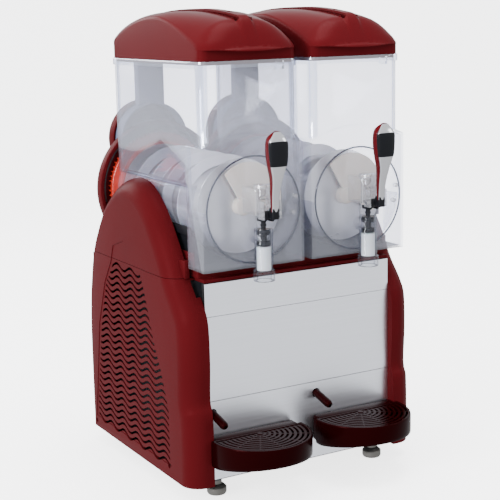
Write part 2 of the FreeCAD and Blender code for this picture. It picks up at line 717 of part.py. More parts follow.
def lid_solid():
    outer = lid_loft(0.0, rim_z + gap).common(lid_plan(0.0, lid_bow))
    peak_gap = lid_plan(0.0, lid_bow).cut(lid_plan(0.0, 0.0)).common(box(-200, 200, -300, 300, 700, peak_z))
    outer = outer.cut(peak_gap)
    inner = lid_loft(skin, rim_z - 10).common(lid_plan(skin, 0.0))
    pad = box(-24, 24, -190, 95, 770, 830)
    shell = outer.cut(inner.cut(pad.cut(lid_loft(14.0, 700))))
    grooves = []
    for x0 in (-15.0, 9.0):
        channel = box(x0, x0 + 6, groove_front, groove_back, 760, 830).cut(lid_loft(8.0, 700))
        grooves.append(channel)
    teeth = []
    for i in range(22):
        y = groove_front + 8 + i * 11.8
        for x0 in (-17.0, 13.5):
            teeth.append(box(x0, x0 + 3.5, y, y + 6, 760, 830).cut(lid_loft(6.0, 700)))
    slot = rounded_box(5, -150, -130, 790, 830, 4.5)
    shell = cut(shell, grooves + teeth + [slot.cut(lid_loft(4.0, 700))])
    inset = skin + 0.6
    lip_out = rounded_box(bowl_half - inset, bowl_front + inset, bowl_back - inset, rim_z - 7, rim_z + 3, 11)
    lip_in = rounded_box(bowl_half - 7, bowl_front + 7, bowl_back - 7, rim_z - 9, rim_z + 8, 8)
    ledge = rounded_box(bowl_half - 1, bowl_front + 1, bowl_back - 1, rim_z + gap, rim_z + 3, 13)
    return fuse([shell, fuse([lip_out, ledge]).cut(lip_in)])


def lids():
    lid = lid_solid()
    for name, side in sides:
        add("lid_" + name, moved(lid, side * bowl_offset))


# ---- drip trays, feet ----
def tray_shape(grow, z0, z1):
    half = tray_half + grow
    neck = tray_neck + grow
    front = rod_z(0, tray_centre, half, z0, z1).common(box(-half, half, -400, tray_centre, z0, z1))
    return fuse([front, box(-half, half, tray_centre - 0.1, tray_neck_y + grow, z0, z1),
                 box(-neck, neck, tray_centre, tray_back + grow, z0, z1)])


grid_rings = 8
grid_slot = 4.2


def drip_trays():
    body = tray_shape(0, tray_bottom, tray_top)
    wedge = polygon([(-100, -305, tray_bottom - 1), (-100, -305, 77), (-100, -215, tray_bottom - 1)])
    body = body.cut(wedge.extrude(V(200, 0, 0)))
    # The grid drops into the round part; a shelf closes the neck behind it.
    open_part = box(-100, 100, -400, tray_ledge_y, 80, tray_top + 1)
    hollow = fuse([tray_shape(-2.6, 80, tray_top - 6),
                   tray_shape(-2.6, 80, tray_top + 1).common(moved(open_part, 0, -1.4))])
    seat = tray_shape(-1.4, tray_top - 4.4, tray_top + 1).common(open_part)
    hooks = []
    for x in (-hook_half, hook_half):
        hooks += [box(x - 8, x + 8, tray_back - 3, -173, hook_z - 4, hook_z),
                  box(x - 8, x + 8, -176.5, -173, hook_z - 4, hook_z + 5.5)]
    tray = fuse([cut(body, [hollow, seat])] + hooks)
    plate = tray_shape(-1.9, tray_top - 4.1, tray_top).common(moved(open_part, 0, -0.5))
    slots = []
    reach = box(-tray_half + 9, tray_half - 9, tray_centre - 90, tray_ledge_y - 5, 90, 120)
    for i in range(grid_rings):
        radius = 12.0 + i * 9.0
        band = rod_z(0, tray_centre, radius + grid_slot, 90, 120)
        slots.append(band.cut(rod_z(0, tray_centre, radius, 80, 130)).common(reach))
    spokes = []
    for angle in range(0, 360, 45):
        spoke = box(0, tray_half, -2.2, 2.2, 90, 120)
        spoke.rotate(V(0, 0, 0), V(0, 0, 1), angle + 22.5)
        spokes.append(moved(spoke, 0, tray_centre))
    cutters = [slot.cut(fuse(spokes)) for slot in slots]
    grid = cut(plate, cutters)
    for name, side in sides:
        add("drip_tray_" + name, moved(tray, side * bowl_offset))
        add("drip_grid_" + name, moved(grid, side * bowl_offset))


def feet():
    pad = fuse([Part.makeCone(foot_r - 2, foot_r, 3), rod_z(0, 0, foot_r, 3, 12),
                Part.makeCone(foot_r, 12, 5, V(0, 0, 12)), rod_z(0, 0, 9, 17, 27.8), rod_z(0, 0, 4, 27, 58)])
    for row, y in (("front", foot_front), ("back", foot_back)):
        for name, side in sides:
            add("foot_%s_%s" % (row, name), moved(pad, side * foot_x, y))


# ---- refrigeration ----
compressor_x = -78.0
compressor_y = 40.0
fan_y = 0.0
fan_z = 190.0


def compressor():
    x, y = compressor_x, compressor_y
    can = fuse([rod_z(x, y, 74, 78, 205), Part.makeCone(74, 46, 26, V(x, y, 205)),
                Part.makeCone(56, 74, 16, V(x, y, 62))])
    can = can.cut(rod_z(x, y, 68, 74, 208))
    foot = rounded_box(84, y - 84, y + 84, 56, 62, 20, x)
    holes = [rod_z(x + dx, y + dy, 6.2, 40, 80) for dx in (-68, 68) for dy in (-68, 68)]
    terminal = box(x - 18, x + 18, y - 92, y - 70, 120, 165)
    add("compressor", cut(fuse([can, foot, terminal]), holes))
    bushes = []
    for dx in (-68, 68):
        for dy in (-68, 68):
            bush = fuse([rod_z(x + dx, y + dy, 10, 30.2, 55.8), rod_z(x + dx, y + dy, 6, 55, 66)])
            bushes.append(bush)
    add("compressor_mounts", bushes)


def condenser():
    fins = [box(126, 160, -120 + 12 * i, -118.4 + 12 * i, 62, 312) for i in range(21)]
    tubes = [rod_y(143, 80 + 31 * i, 4.5, -130, 130) for i in range(8)]
    ends = [box(124, 162, -124, -122, 56, 318), box(124, 162, 122.6, 124.6, 56, 318)]
    foot = box(124, 162, -124, 124.6, 46.5, 58)
    add("condenser", fuse(fins + tubes + ends + [foot]))


def fan_set():
    shroud = box(116, 122, -112, 112, 60, 316).cut(rod_x(fan_y, fan_z, 96, 100, 130))
    ring = rod_x(fan_y, fan_z, 100, 96, 117).cut(rod_x(fan_y, fan_z, 96, 90, 125))
    struts = []
    for angle in (45, 135, 225, 315):
        strut = box(84, 90, -3, 3, 34, 108)
        strut.rotate(V(0, 0, 0), V(1, 0, 0), angle)
        strut.translate(V(0, fan_y, fan_z))
        struts.append(strut)
        turn = math.radians(angle)
        post = rod_x(fan_y + 103 * math.sin(turn), fan_z + 103 * math.cos(turn), 4, 84, 117)
        struts.append(post)
    add("fan_shroud", fuse([shroud, ring] + struts))
    motor = rod_x(fan_y, fan_z, 33, 44, 91).cut(rod_x(fan_y, fan_z, 28, 48, 87))
    spindle = rod_x(fan_y, fan_z, 4, 88, 114)
    add("fan_motor", fuse([motor, spindle]))
    hub = rod_x(fan_y, fan_z, 22, 94, 112)
    blades = []
    for i in range(5):
        blade = box(102, 104, -26, 26, 18, 92)
        blade.rotate(V(103, 0, 50), V(0, 0, 1), 22)
        blade.rotate(V(0, 0, 0), V(1, 0, 0), 72 * i)
        blade.translate(V(0, fan_y, fan_z))
        blades.append(blade)
    wheel = fuse([hub] + blades).common(rod_x(fan_y, fan_z, 91.5, 92.5, 114))
    add("fan_blades", wheel.cut(rod_x(fan_y, fan_z, 4.08, 80, 113)))


def bent_tube(points, radius, bend):
    """Tube along straight runs joined by tangent arcs."""
    pts = [V(*p) for p in points]
    edges = []
    start = pts[0]
    for i in range(1, len(pts) - 1):
        into = (pts[i] - pts[i - 1]).normalize()
        out = (pts[i + 1] - pts[i]).normalize()
        half_turn = into.getAngle(out) / 2
        back = bend * math.tan(half_turn)
        a = pts[i] - into * back
        b = pts[i] + out * back
        middle = (out - into).normalize()
        centre = pts[i] + middle * (bend / math.cos(half_turn))
        edges.append(Part.makeLine(start, a))
        edges.append(Part.Arc(a, centre - middle * bend, b).toShape())
        start = b
    edges.append(Part.makeLine(start, pts[-1]))
    path = Part.Wire(edges)
    profile = Part.Wire(Part.makeCircle(radius, pts[0], pts[1] - pts[0]))
    return path.makePipeShell([profile], True, False)


def pipes():
    lines = [bent_tube([(compressor_x + 20, compressor_y, 231.2), (compressor_x + 20, compressor_y, 345),
                        (143, compressor_y, 345), (143, compressor_y + 96, 345),
                        (143, compressor_y + 96, 240)], 4, 14),
             bent_tube([(compressor_x - 20, compressor_y, 231.2), (compressor_x - 20, compressor_y, 320),
                        (compressor_x - 20, 168, 320), (compressor_x - 20, 168, 369)], 6, 18)]
    add("refrigerant_pipes", lines)


def build():
    side_covers()
    base_and_chassis()
    front_panels()
    drain_spouts()
    deck_and_cradle()
    rear_panel()
    screws()
    cable_inlet()
    rocker_switches()
    bulkhead()
    bowl_seals()
    evaporators()
    drive_housings()
    gearmotors()
    augers()
    bowls_and_taps()
    lids()
    drip_trays()
    feet()
    compressor()
    condenser()
    fan_set()
    pipes()


build()
os.makedirs("parts", exist_ok=True)
for name, shape in nodes.items():
    moved(shape, 0, footprint_shift).exportStep("parts/%s.step" % name)
    report = (name, len(shape.Solids), shape.isValid(), shape.Volume)
    print("%-26s solids %2d  valid %s  volume %9.0f" % report)
print(len(nodes), "nodes")
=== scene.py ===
import json
import math

import bmesh
import bpy
from mathutils import Matrix, Vector


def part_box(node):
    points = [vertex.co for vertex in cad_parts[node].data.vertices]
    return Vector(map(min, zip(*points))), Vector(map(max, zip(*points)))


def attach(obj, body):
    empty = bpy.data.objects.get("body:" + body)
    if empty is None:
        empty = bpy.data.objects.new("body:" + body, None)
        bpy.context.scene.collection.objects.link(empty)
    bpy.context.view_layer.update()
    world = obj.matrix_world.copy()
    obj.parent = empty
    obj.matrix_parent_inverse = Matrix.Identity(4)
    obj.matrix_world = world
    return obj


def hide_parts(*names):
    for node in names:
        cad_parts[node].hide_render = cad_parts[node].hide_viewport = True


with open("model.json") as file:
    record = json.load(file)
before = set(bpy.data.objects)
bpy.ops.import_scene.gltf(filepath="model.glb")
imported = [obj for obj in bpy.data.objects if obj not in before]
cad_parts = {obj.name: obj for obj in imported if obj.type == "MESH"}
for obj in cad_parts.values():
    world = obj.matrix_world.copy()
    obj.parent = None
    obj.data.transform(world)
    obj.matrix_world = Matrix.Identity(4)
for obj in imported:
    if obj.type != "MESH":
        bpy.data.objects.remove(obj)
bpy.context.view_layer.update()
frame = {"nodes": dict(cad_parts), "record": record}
record = frame["record"]
bodyOfNode = {node: body for body, names in record["behaviour"]["bodies"].items() for node in names}
slotOfNode = {part["node"]: part["material_slot"] for part in record["subparts"]}
mm = 0.001
sides = (("left", -1.0), ("right", 1.0))
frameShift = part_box("drive_shaft_left")[0].y + 0.166  # pieces are drawn about the cabinet's middle
print("frame loaded:", len(frame["nodes"]), "nodes")


# Value wraps one socket, so node maths reads as ordinary sums.
class Value:
    def __init__(self, graph, socket):
        self.graph = graph
        self.socket = socket

    def maths(self, operation, first, second=0.0):
        made = self.graph.node("ShaderNodeMath", {"operation": operation}, {0: first, 1: second})
        return Value(self.graph, made.outputs[0])

    def __add__(self, other):
        return self.maths("ADD", self, other)

    def __sub__(self, other):
        return self.maths("SUBTRACT", self, other)

    def __rsub__(self, other):
        return self.maths("SUBTRACT", other, self)

    def __mul__(self, other):
        return self.maths("MULTIPLY", self, other)

    def __truediv__(self, other):
        return self.maths("DIVIDE", self, other)

    def __rtruediv__(self, other):
        return self.maths("DIVIDE", other, self)

    __radd__ = __add__
    __rmul__ = __mul__

    def sine(self):
        return self.maths("SINE", self)

    def cosine(self):
        return self.maths("COSINE", self)

    def atLeast(self, other):
        return self.maths("MAXIMUM", self, other)

    def atMost(self, other):
        return self.maths("MINIMUM", self, other)

    def floor(self):
        return self.maths("FLOOR", self)

    def arcsine(self):
        return self.maths("ARCSINE", self)


# Graph adds nodes to a shader tree or a geometry tree.
class Graph:
    def __init__(self, tree):
        self.tree = tree

    def node(self, kind, settings=None, inputs=None):
        made = self.tree.nodes.new(kind)
        for key, value in (settings or {}).items():
            setattr(made, key, value)
        for key, value in (inputs or {}).items():
            socket = made.inputs[key]
            if isinstance(value, Value):
                self.tree.links.new(value.socket, socket)
            else:
                socket.default_value = value
        return made

    def out(self, kind, settings=None, inputs=None, output=0):
        return Value(self, self.node(kind, settings, inputs).outputs[output])


class Finish(Graph):
    def __init__(self, name):
        self.material = bpy.data.materials.new(name)
        self.material.use_nodes = True
        super().__init__(self.material.node_tree)
        self.tree.nodes.clear()
        self.place = self.out("ShaderNodeTexCoord", output="Object")

    def stretched(self, scale):
        return self.out("ShaderNodeMapping", None, {"Vector": self.place, "Scale": scale})

    def noise(self, scale, detail=3.0, rough=0.55, vector=None):
        return self.out("ShaderNodeTexNoise", None, {"Vector": vector or self.place, "Scale": scale,
                                                     "Detail": detail, "Roughness": rough})

    def blend(self, factor, first, second):
        made = self.node("ShaderNodeMix", {"data_type": "RGBA"}, {0: factor})
        for index, value in ((6, first), (7, second)):
            if isinstance(value, Value):
                self.tree.links.new(value.socket, made.inputs[index])
            else:
                made.inputs[index].default_value = (*value, 1.0)
        return Value(self, made.outputs[2])

    def bump(self, height, strength, distance):
        return self.out("ShaderNodeBump", None, {"Height": height, "Strength": strength, "Distance": distance})

    def surface(self, **inputs):
        named = {key.replace("_", " "): value for key, value in inputs.items()}
        return self.out("ShaderNodeBsdfPrincipled", None, named)

    def done(self, shader):
        self.node("ShaderNodeOutputMaterial", None, {"Surface": shader})
        return self.material


# Moulded plastic: soft mottling, a fine orange-peel skin and a few faint scuffs.
def mouldedPlastic(name, colour, deep, rough=0.3, coat=0.25, grain=0.12, grainScale=900.0, shine=(1.0, 1.0, 1.0),
                   gloss=0.2, index=1.3):
    finish = Finish(name)
    cloud = finish.noise(9.0, 4.0)
    scuff = finish.noise(60.0, 5.0, 0.7, finish.stretched((1.0, 0.3, 1.0)))
    skin = finish.noise(grainScale, 2.0)
    base = finish.blend(cloud, deep, colour)
    return finish.done(finish.surface(
        Base_Color=base, Roughness=rough - 0.06 + cloud * 0.07 + scuff * 0.07,
        Normal=finish.bump(skin, grain, 0.0004), Coat_Weight=coat, Coat_Roughness=0.12, IOR=index,
        Specular_IOR_Level=gloss, Specular_Tint=(*shine, 1.0)))


# Brushed sheet: long streaks along X, with slight waviness in the reflection.
def brushedSheet(name, colour, rough=0.3, along=(1.5, 500.0, 500.0), depth=0.1):
    finish = Finish(name)
    streak = finish.noise(1.0, 6.0, 0.65, finish.stretched(along))
    wave = finish.noise(3.0, 2.0)
    dark = tuple(c * 0.86 for c in colour)
    return finish.done(finish.surface(
        Base_Color=finish.blend(streak, dark, colour), Metallic=1.0,
        Roughness=rough - 0.07 + streak * 0.16 + wave * 0.04, Normal=finish.bump(streak, depth, 0.0003)))


# Turned or drawn metal with an even, fine grain.
def plainMetal(name, colour, rough=0.25, grainScale=400.0):
    finish = Finish(name)
    grain = finish.noise(grainScale, 3.0)
    cloud = finish.noise(14.0, 3.0)
    dark = tuple(c * 0.8 for c in colour)
    return finish.done(finish.surface(
        Base_Color=finish.blend(cloud, dark, colour), Metallic=1.0,
        Roughness=rough - 0.05 + cloud * 0.1 + grain * 0.04, Normal=finish.bump(grain, 0.05, 0.0002)))


# Clear moulding: see-through with a faint haze, darker through its thickness, and a mirror-like skin.
def clearMoulding(name, tint, deep, haze, hazeShare=0.04, gain=0.9, rough=0.05, base=0.04, depth=0.8):
    finish = Finish(name)
    ripple = finish.noise(12.0, 2.0)
    normal = finish.bump(ripple, 0.1, 0.002)
    slant = finish.out("ShaderNodeLayerWeight", None, {"Blend": 0.5}, 1)
    edge = finish.out("ShaderNodeLayerWeight", None, {"Blend": 0.5, "Normal": normal}, 1)
    edge = edge * edge * edge * edge * edge
    thin = finish.out("ShaderNodeBsdfTransparent", None, {"Color": (*tint, 1.0)})
    thick = finish.out("ShaderNodeBsdfTransparent", None, {"Color": (*deep, 1.0)})
    through = finish.out("ShaderNodeMixShader", None, {0: slant * slant * slant * depth, 1: thin, 2: thick})
    milky = finish.surface(Base_Color=finish.blend(ripple, haze, tuple(c * 0.9 for c in haze)), Roughness=0.4)
    clouded = finish.out("ShaderNodeMixShader", None, {0: hazeShare + ripple * 0.01, 1: through, 2: milky})
    gloss = finish.surface(Base_Color=finish.blend(ripple, (0.86, 0.89, 0.96), (0.93, 0.95, 1.0)),
                           Metallic=1.0, Roughness=rough + ripple * 0.03, Normal=normal)
    return finish.done(finish.out("ShaderNodeMixShader", None, {
        0: (edge * gain + base).atMost(1.0), 1: clouded, 2: gloss}))


# White translucent moulding for the augers.
def frostedPlastic(name, colour, warm, alpha=1.0):
    finish = Finish(name)
    cloud = finish.noise(25.0, 4.0)
    skin = finish.noise(700.0, 2.0)
    return finish.done(finish.surface(
        Base_Color=finish.blend(cloud, colour, warm), Roughness=0.35 + cloud * 0.12,
        Normal=finish.bump(skin, 0.06, 0.0003), Subsurface_Weight=0.15, Subsurface_Scale=0.01, Alpha=alpha))


def rubber(name, colour, rough=0.55, coat=0.0):
    finish = Finish(name)
    cloud = finish.noise(40.0, 4.0)
    dust = finish.noise(300.0, 3.0)
    pale = tuple(c * 1.35 + 0.004 for c in colour)
    return finish.done(finish.surface(
        Base_Color=finish.blend(cloud, colour, pale), Roughness=rough + dust * 0.15,
        Normal=finish.bump(dust, 0.12, 0.0004), Coat_Weight=coat))


def floorPaper(name):
    finish = Finish(name)
    fibre = finish.noise(180.0, 4.0)
    return finish.done(finish.surface(
        Base_Color=finish.blend(fibre, (0.86, 0.86, 0.87), (0.9, 0.9, 0.9)), Roughness=0.55 + fibre * 0.1,
        Normal=finish.bump(fibre, 0.02, 0.0003), Emission_Color=(1.0, 1.0, 1.0, 1.0), Emission_Strength=3.0))


redShine = (1.0, 0.25, 0.28)
finishes = {
    "cover": mouldedPlastic("coverRed", (0.062, 0.0045, 0.006), (0.047, 0.0033, 0.0044),
                  0.36, 0.0, 0.16, 900.0, redShine, 0.07, 1.25),
    "lid": mouldedPlastic("lidRed", (0.07, 0.005, 0.0066), (0.054, 0.0036, 0.005),
                  0.3, 0.0, 0.06, 900.0, redShine, 0.1, 1.25),
    "tray": mouldedPlastic("trayRed", (0.009, 0.0004, 0.0006), (0.006, 0.0003, 0.0004),
                  0.2, 0.0, 0.05, 900.0, redShine, 0.1, 1.25),
    "leverBack": mouldedPlastic("leverRed", (0.08, 0.0035, 0.005), (0.06, 0.0025, 0.004),
                  0.25, 0.0, 0.04, 900.0, redShine, 0.2),
    "black": mouldedPlastic("deckBlack", (0.007, 0.0075, 0.0095), (0.0045, 0.005, 0.0065), 0.3, 0.0, 0.2),
    "piston": mouldedPlastic("pistonBlack", (0.012, 0.013, 0.018), (0.007, 0.008, 0.011), 0.28, 0.2, 0.05),
    "slate": mouldedPlastic("housingSlate", (0.115, 0.13, 0.2), (0.095, 0.11, 0.17), 0.5, 0.0, 0.2),
    "sheet": brushedSheet("panelSteel", (0.85, 0.87, 0.93), 0.3),
    "galvanised": plainMetal("chassisZinc", (0.3, 0.31, 0.32), 0.5, 60.0),
    # Darker copy of the chassis zinc: painted shade for the base tray and chassis sides inside the covers.
    "inner": plainMetal("chassisShade", (0.06, 0.062, 0.066), 0.55, 60.0),
    "chrome": plainMetal("leverChrome", (0.5, 0.5, 0.52), 0.16, 900.0),
    "spring": plainMetal("springWire", (0.7, 0.7, 0.7), 0.25),
    "steel": plainMetal("shaftSteel", (0.62, 0.62, 0.64), 0.27),
    "castGrey": plainMetal("castAlloy", (0.4, 0.41, 0.43), 0.5, 150.0),
    "copper": plainMetal("copperPipe", (0.75, 0.36, 0.22), 0.3),
    "fins": plainMetal("finAlloy", (0.55, 0.56, 0.58), 0.4),
    "enamel": mouldedPlastic("compressorEnamel", (0.012, 0.012, 0.013), (0.007, 0.007, 0.008), 0.3, 0.4, 0.25, 300.0),
    "foot": plainMetal("footGrey", (0.15, 0.145, 0.135), 0.5, 200.0),
    "clear": clearMoulding("bowlClear", (0.98, 0.982, 1.0), (0.6, 0.63, 0.78), (0.86, 0.88, 1.0),
                  0.085, 0.9, 0.05, 0.03),
    "tapClear": clearMoulding("tapClear", (0.84, 0.84, 0.86), (0.1, 0.1, 0.13), (0.82, 0.81, 0.82),
                  0.16, 1.0, 0.06, 0.12, 1.0),
    "tubeClear": clearMoulding("tubeClear", (0.95, 0.955, 0.97), (0.2, 0.21, 0.27), (0.7, 0.72, 0.8),
                  0.0, 1.0, 0.06, 0.012, 1.0),
    # Corner, rim and ledge finish: its darker tint and stronger reflection are painted shade and painted highlight
    # along the bowl's edges.
    "cornerGlintShade": clearMoulding("cornerGlintShade", (0.86, 0.88, 0.95), (0.3, 0.34, 0.5), (0.7, 0.74, 0.9),
                  0.08, 1.0, 0.05, 0.2, 1.0),
    "lipClear": clearMoulding("lipClear", (0.8, 0.79, 0.8), (0.2, 0.2, 0.22), (0.55, 0.52, 0.5),
                  0.3, 1.0, 0.12, 0.12, 1.0),
    # Dark tint for the front bead: painted shade for the dark line the clear ring shows.
    "ringPaintedShade": clearMoulding("ringPaintedShade", (0.3, 0.32, 0.4), (0.05, 0.05, 0.07), (0.1, 0.11, 0.15),
                  0.3, 1.0, 0.08, 0.1, 1.0),
    "auger": frostedPlastic("augerWhite", (0.66, 0.67, 0.75), (0.76, 0.76, 0.8)),
    "paddle": frostedPlastic("paddleIvory", (0.62, 0.54, 0.44), (0.72, 0.65, 0.56)),
    "sleeve": frostedPlastic("sleeveFrost", (0.8, 0.81, 0.84), (0.88, 0.88, 0.89), 0.72),
    "orange": rubber("sealOrange", (0.42, 0.022, 0.01), 0.35, 0.15),
    "rubber": rubber("rubberBlack", (0.015, 0.015, 0.016)),
    "paper": floorPaper("floorPaper"),
}
print("materials:", len(finishes))


def keep(name, mesh, material, body, nodes=(), slot=None, angle=35.0, settled=False):
    mesh = mesh.copy()
    mesh.name = name
    if not settled:
        mesh.transform(Matrix.Translation((0.0, frameShift, 0.0)))
    mesh.materials.clear()
    mesh.materials.append(finishes[material])
    mesh.polygons.foreach_set("use_smooth", [True] * len(mesh.polygons))
    mesh.polygons.foreach_set("material_index", [0] * len(mesh.polygons))
    mesh.set_sharp_from_angle(angle=math.radians(angle))
    piece = bpy.data.objects.new(name, mesh)
    bpy.context.scene.collection.objects.link(piece)
    if nodes:
        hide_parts(*nodes)
        slot = slot or slotOfNode[nodes[0]]
    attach(piece, body)
    return piece


def meshFrom(name, points, faces, merge=1e-6, outward=True):
    shape = bmesh.new()
    corners = [shape.verts.new(p) for p in points]
    for face in faces:
        try:
            shape.faces.new([corners[i] for i in face])
        except ValueError:
            pass
    bmesh.ops.remove_doubles(shape, verts=shape.verts, dist=merge)
    bmesh.ops.dissolve_degenerate(shape, edges=shape.edges, dist=merge)
    if outward:
        bmesh.ops.recalc_face_normals(shape, faces=shape.faces)
    mesh = bpy.data.meshes.new(name)
    shape.to_mesh(mesh)
    shape.free()
    return mesh


# Skin over a stack of rings with equal point counts; ends are closed with one face.
def skinRings(name, rings, capStart=True, capEnd=True, joinEnds=False):
    count = len(rings[0])
    points = [p for ring in rings for p in ring]
    faces = []
    for r in range(len(rings) - (0 if joinEnds else 1)):
        s = (r + 1) % len(rings)
        for i in range(count):
            j = (i + 1) % count
            faces.append((r * count + i, r * count + j, s * count + j, s * count + i))
    if capStart and not joinEnds:
        faces.append(tuple(range(count)))
    if capEnd and not joinEnds:
        faces.append(tuple((len(rings) - 1) * count + i for i in range(count)))
    return meshFrom(name, points, faces)


# Turned shape: profile is (radius, place along the axis), in mm; axis is "y" or "z".
def turned(name, profile, centre, axis="z", steps=96):
    rings = []
    for radius, place in profile:
        ring = []
        for i in range(steps):
            a = 2 * math.pi * i / steps
            u, v = max(radius, 0.01) * math.cos(a), max(radius, 0.01) * math.sin(a)
            point = (u, place, v) if axis == "y" else (u, v, place)
            ring.append(tuple((c + p) * mm for c, p in zip(centre, point)))
        rings.append(ring)
    closed = profile[0] == profile[-1]
    return skinRings(name, rings[:-1] if closed else rings, joinEnds=closed)


def box(x0, x1, y0, y1, z0, z1):
    points = [(x * mm, y * mm, z * mm) for x in (x0, x1) for y in (y0, y1) for z in (z0, z1)]
    faces = [(0, 1, 3, 2), (4, 6, 7, 5), (0, 4, 5, 1), (2, 3, 7, 6), (0, 2, 6, 4), (1, 5, 7, 3)]
    return meshFrom("box", points, faces)


def joined(meshes):
    shape = bmesh.new()
    for mesh in meshes:
        shape.from_mesh(mesh)
    mesh = bpy.data.meshes.new("joined")
    shape.to_mesh(mesh)
    shape.free()
    return mesh


def mirrored(mesh, axis=0):
    copy = mesh.copy()
    flip = Matrix.Identity(4)
    flip[axis][axis] = -1.0
    copy.transform(flip)
    copy.flip_normals()
    return copy


def shifted(mesh, x=0.0, y=0.0, z=0.0):
    copy = mesh.copy()
    copy.transform(Matrix.Translation((x * mm, y * mm, z * mm)))
    return copy


# Runs modifiers on a mesh and returns the plain result.
def baked(mesh, *steps):
    work = bpy.data.objects.new("work", mesh)
    bpy.context.scene.collection.objects.link(work)
    helpers = []
    for kind, settings in steps:
        modifier = work.modifiers.new("step", kind)
        for key, value in settings.items():
            if key == "object" and isinstance(value, bpy.types.Mesh):
                value = bpy.data.objects.new("tool", value)
                bpy.context.scene.collection.objects.link(value)
                helpers.append(value)
            setattr(modifier, key, value)
    bpy.context.view_layer.update()
    graph = bpy.context.evaluated_depsgraph_get()
    result = bpy.data.meshes.new_from_object(work.evaluated_get(graph))
    for thing in [work] + helpers:
        bpy.data.objects.remove(thing)
    return result


def carved(mesh, *tools, operation="DIFFERENCE"):
    return baked(mesh, *[("BOOLEAN", {"operation": operation, "solver": "EXACT", "object": tool}) for tool in tools])


def rounded(mesh, width, segments=2, angle=35.0):
    return baked(mesh, ("BEVEL", {"width": width * mm, "segments": segments, "limit_method": "ANGLE",
                                  "angle_limit": math.radians(angle), "use_clamp_overlap": True}))


# A CAD node's own shape with merged triangles and slightly eased edges.
def easedNode(node, material, ease=0.5, name=None, angle=35.0):
    shape = bmesh.new()
    shape.from_mesh(frame["nodes"][node].data)
    bmesh.ops.remove_doubles(shape, verts=shape.verts, dist=1e-5)
    bmesh.ops.dissolve_limit(shape, angle_limit=math.radians(0.8), verts=shape.verts, edges=shape.edges)
    mesh = bpy.data.meshes.new(node)
    shape.to_mesh(mesh)
    shape.free()
    if ease > 0:
        mesh = rounded(mesh, ease, 2, 40.0)
    return keep(name or node + "_shell", mesh, material, bodyOfNode[node], [node], angle=angle, settled=True)


def repaint(material, *nodes):
    for node in nodes:
        mesh = frame["nodes"][node].data
        mesh.materials.clear()
        mesh.materials.append(finishes[material])


# Geometry tree: named inputs, one result mesh with its material.
class Grower(Graph):
    def __init__(self, name, sizes):
        self.group = bpy.data.node_groups.new(name, "GeometryNodeTree")
        super().__init__(self.group)
        self.sizes = sizes
        for label, value in sizes.items():
            kind = "NodeSocketInt" if isinstance(value, int) else "NodeSocketFloat"
            self.group.interface.new_socket(name=label, in_out="INPUT", socket_type=kind)
        self.group.interface.new_socket(name="Geometry", in_out="OUTPUT", socket_type="NodeSocketGeometry")
        self.start = self.tree.nodes.new("NodeGroupInput")

    def size(self, label):
        return Value(self, self.start.outputs[label])

    def place(self):
        parts = self.node("ShaderNodeSeparateXYZ", None, {0: self.out("GeometryNodeInputPosition")})
        return [Value(self, socket) for socket in parts.outputs]

    def vector(self, x, y, z):
        return self.out("ShaderNodeCombineXYZ", None, {0: x, 1: y, 2: z})

    def line(self, count, start=(0.0, 0.0, 0.0), step=(0.0, 0.0, 0.0)):
        return self.out("GeometryNodeMeshLine", {"mode": "OFFSET"}, {
            "Count": count, "Start Location": start, "Offset": step})

    def copies(self, points, instance, **turn):
        return self.out("GeometryNodeInstanceOnPoints", None, {"Points": points, "Instance": instance, **turn})

    def realized(self, geometry):
        return self.out("GeometryNodeRealizeInstances", None, {0: geometry})

    def moved(self, geometry, position):
        return self.out("GeometryNodeSetPosition", None, {"Geometry": geometry, "Position": position})

    def mesh(self, geometry, material):
        coloured = self.out("GeometryNodeSetMaterial", None, {
            "Geometry": self.realized(geometry), "Material": finishes[material]})
        self.node("NodeGroupOutput", None, {0: coloured})
        work = bpy.data.objects.new("grown", bpy.data.meshes.new("grown"))
        bpy.context.scene.collection.objects.link(work)
        modifier = work.modifiers.new("grow", "NODES")
        modifier.node_group = self.group
        for item in self.group.interface.items_tree:
            if item.in_out == "INPUT":
                modifier[item.identifier] = self.sizes[item.name]
        bpy.context.view_layer.update()
        result = bpy.data.meshes.new_from_object(work.evaluated_get(bpy.context.evaluated_depsgraph_get()))
        bpy.data.objects.remove(work)
        shape = bmesh.new()
        shape.from_mesh(result)
        bmesh.ops.remove_doubles(shape, verts=shape.verts, dist=1e-6)
        bmesh.ops.recalc_face_normals(shape, faces=shape.faces)
        shape.to_mesh(result)
        shape.free()
        return result


def curveThrough(points, perSpan):
    result = []
    last = len(points) - 1
    for i in range(last):
        p0, p1, p2, p3 = points[max(i - 1, 0)], points[i], points[i + 1], points[min(i + 2, last)]
        for k in range(perSpan):
            t = k / perSpan
            result.append(tuple(
                0.5 * (2 * b + (c - a) * t + (2 * a - 5 * b + 4 * c - d) * t * t + (3 * b - a - 3 * c + d) * t ** 3)
                for a, b, c, d in zip(p0, p1, p2, p3)))
    result.append(tuple(float(v) for v in points[-1]))
    return result


machine = {"bowlOffset": 102.6, "axisZ": 489.5, "body": "machine_body"}


# Where an auger's axis crosses the middle of the cabinet.
def axisPoint(side):
    return side * machine["bowlOffset"], 0, machine["axisZ"]


# Points of a plan, all at one height, in metres.
def level(plan, z):
    return [(x * mm, y * mm, z * mm) for x, y in plan]


cover = {
    "outline": ((-198, 28), (-199, 95), (-197, 152), (-190, 176), (-193, 240), (-190, 304), (-174, 336),
                (-146, 371), (-128, 405), (-102, 443), (-68, 484), (-22, 516), (26, 525), (70, 514),
                (109, 487), (135, 461), (160, 424), (181, 385), (198, 330), (209, 275), (215, 200), (217, 28)),
    "outer": 229.0, "inner": 184.0, "upperInner": 193.0, "skin": 3.0, "seam": 375.7, "seamGap": 0.45,
    "roundFront": 33.0, "roundBack": 12.0, "steps": 12,
    "screws": ((-118.0, 48.0), (196.0, 40.0)),
}
vents = {"Rows": 27, "Pitch": 12.0, "First": 52.0, "Wave": 57.0, "Swing": 4.6, "Slot": 4.8, "Margin": 7.0}


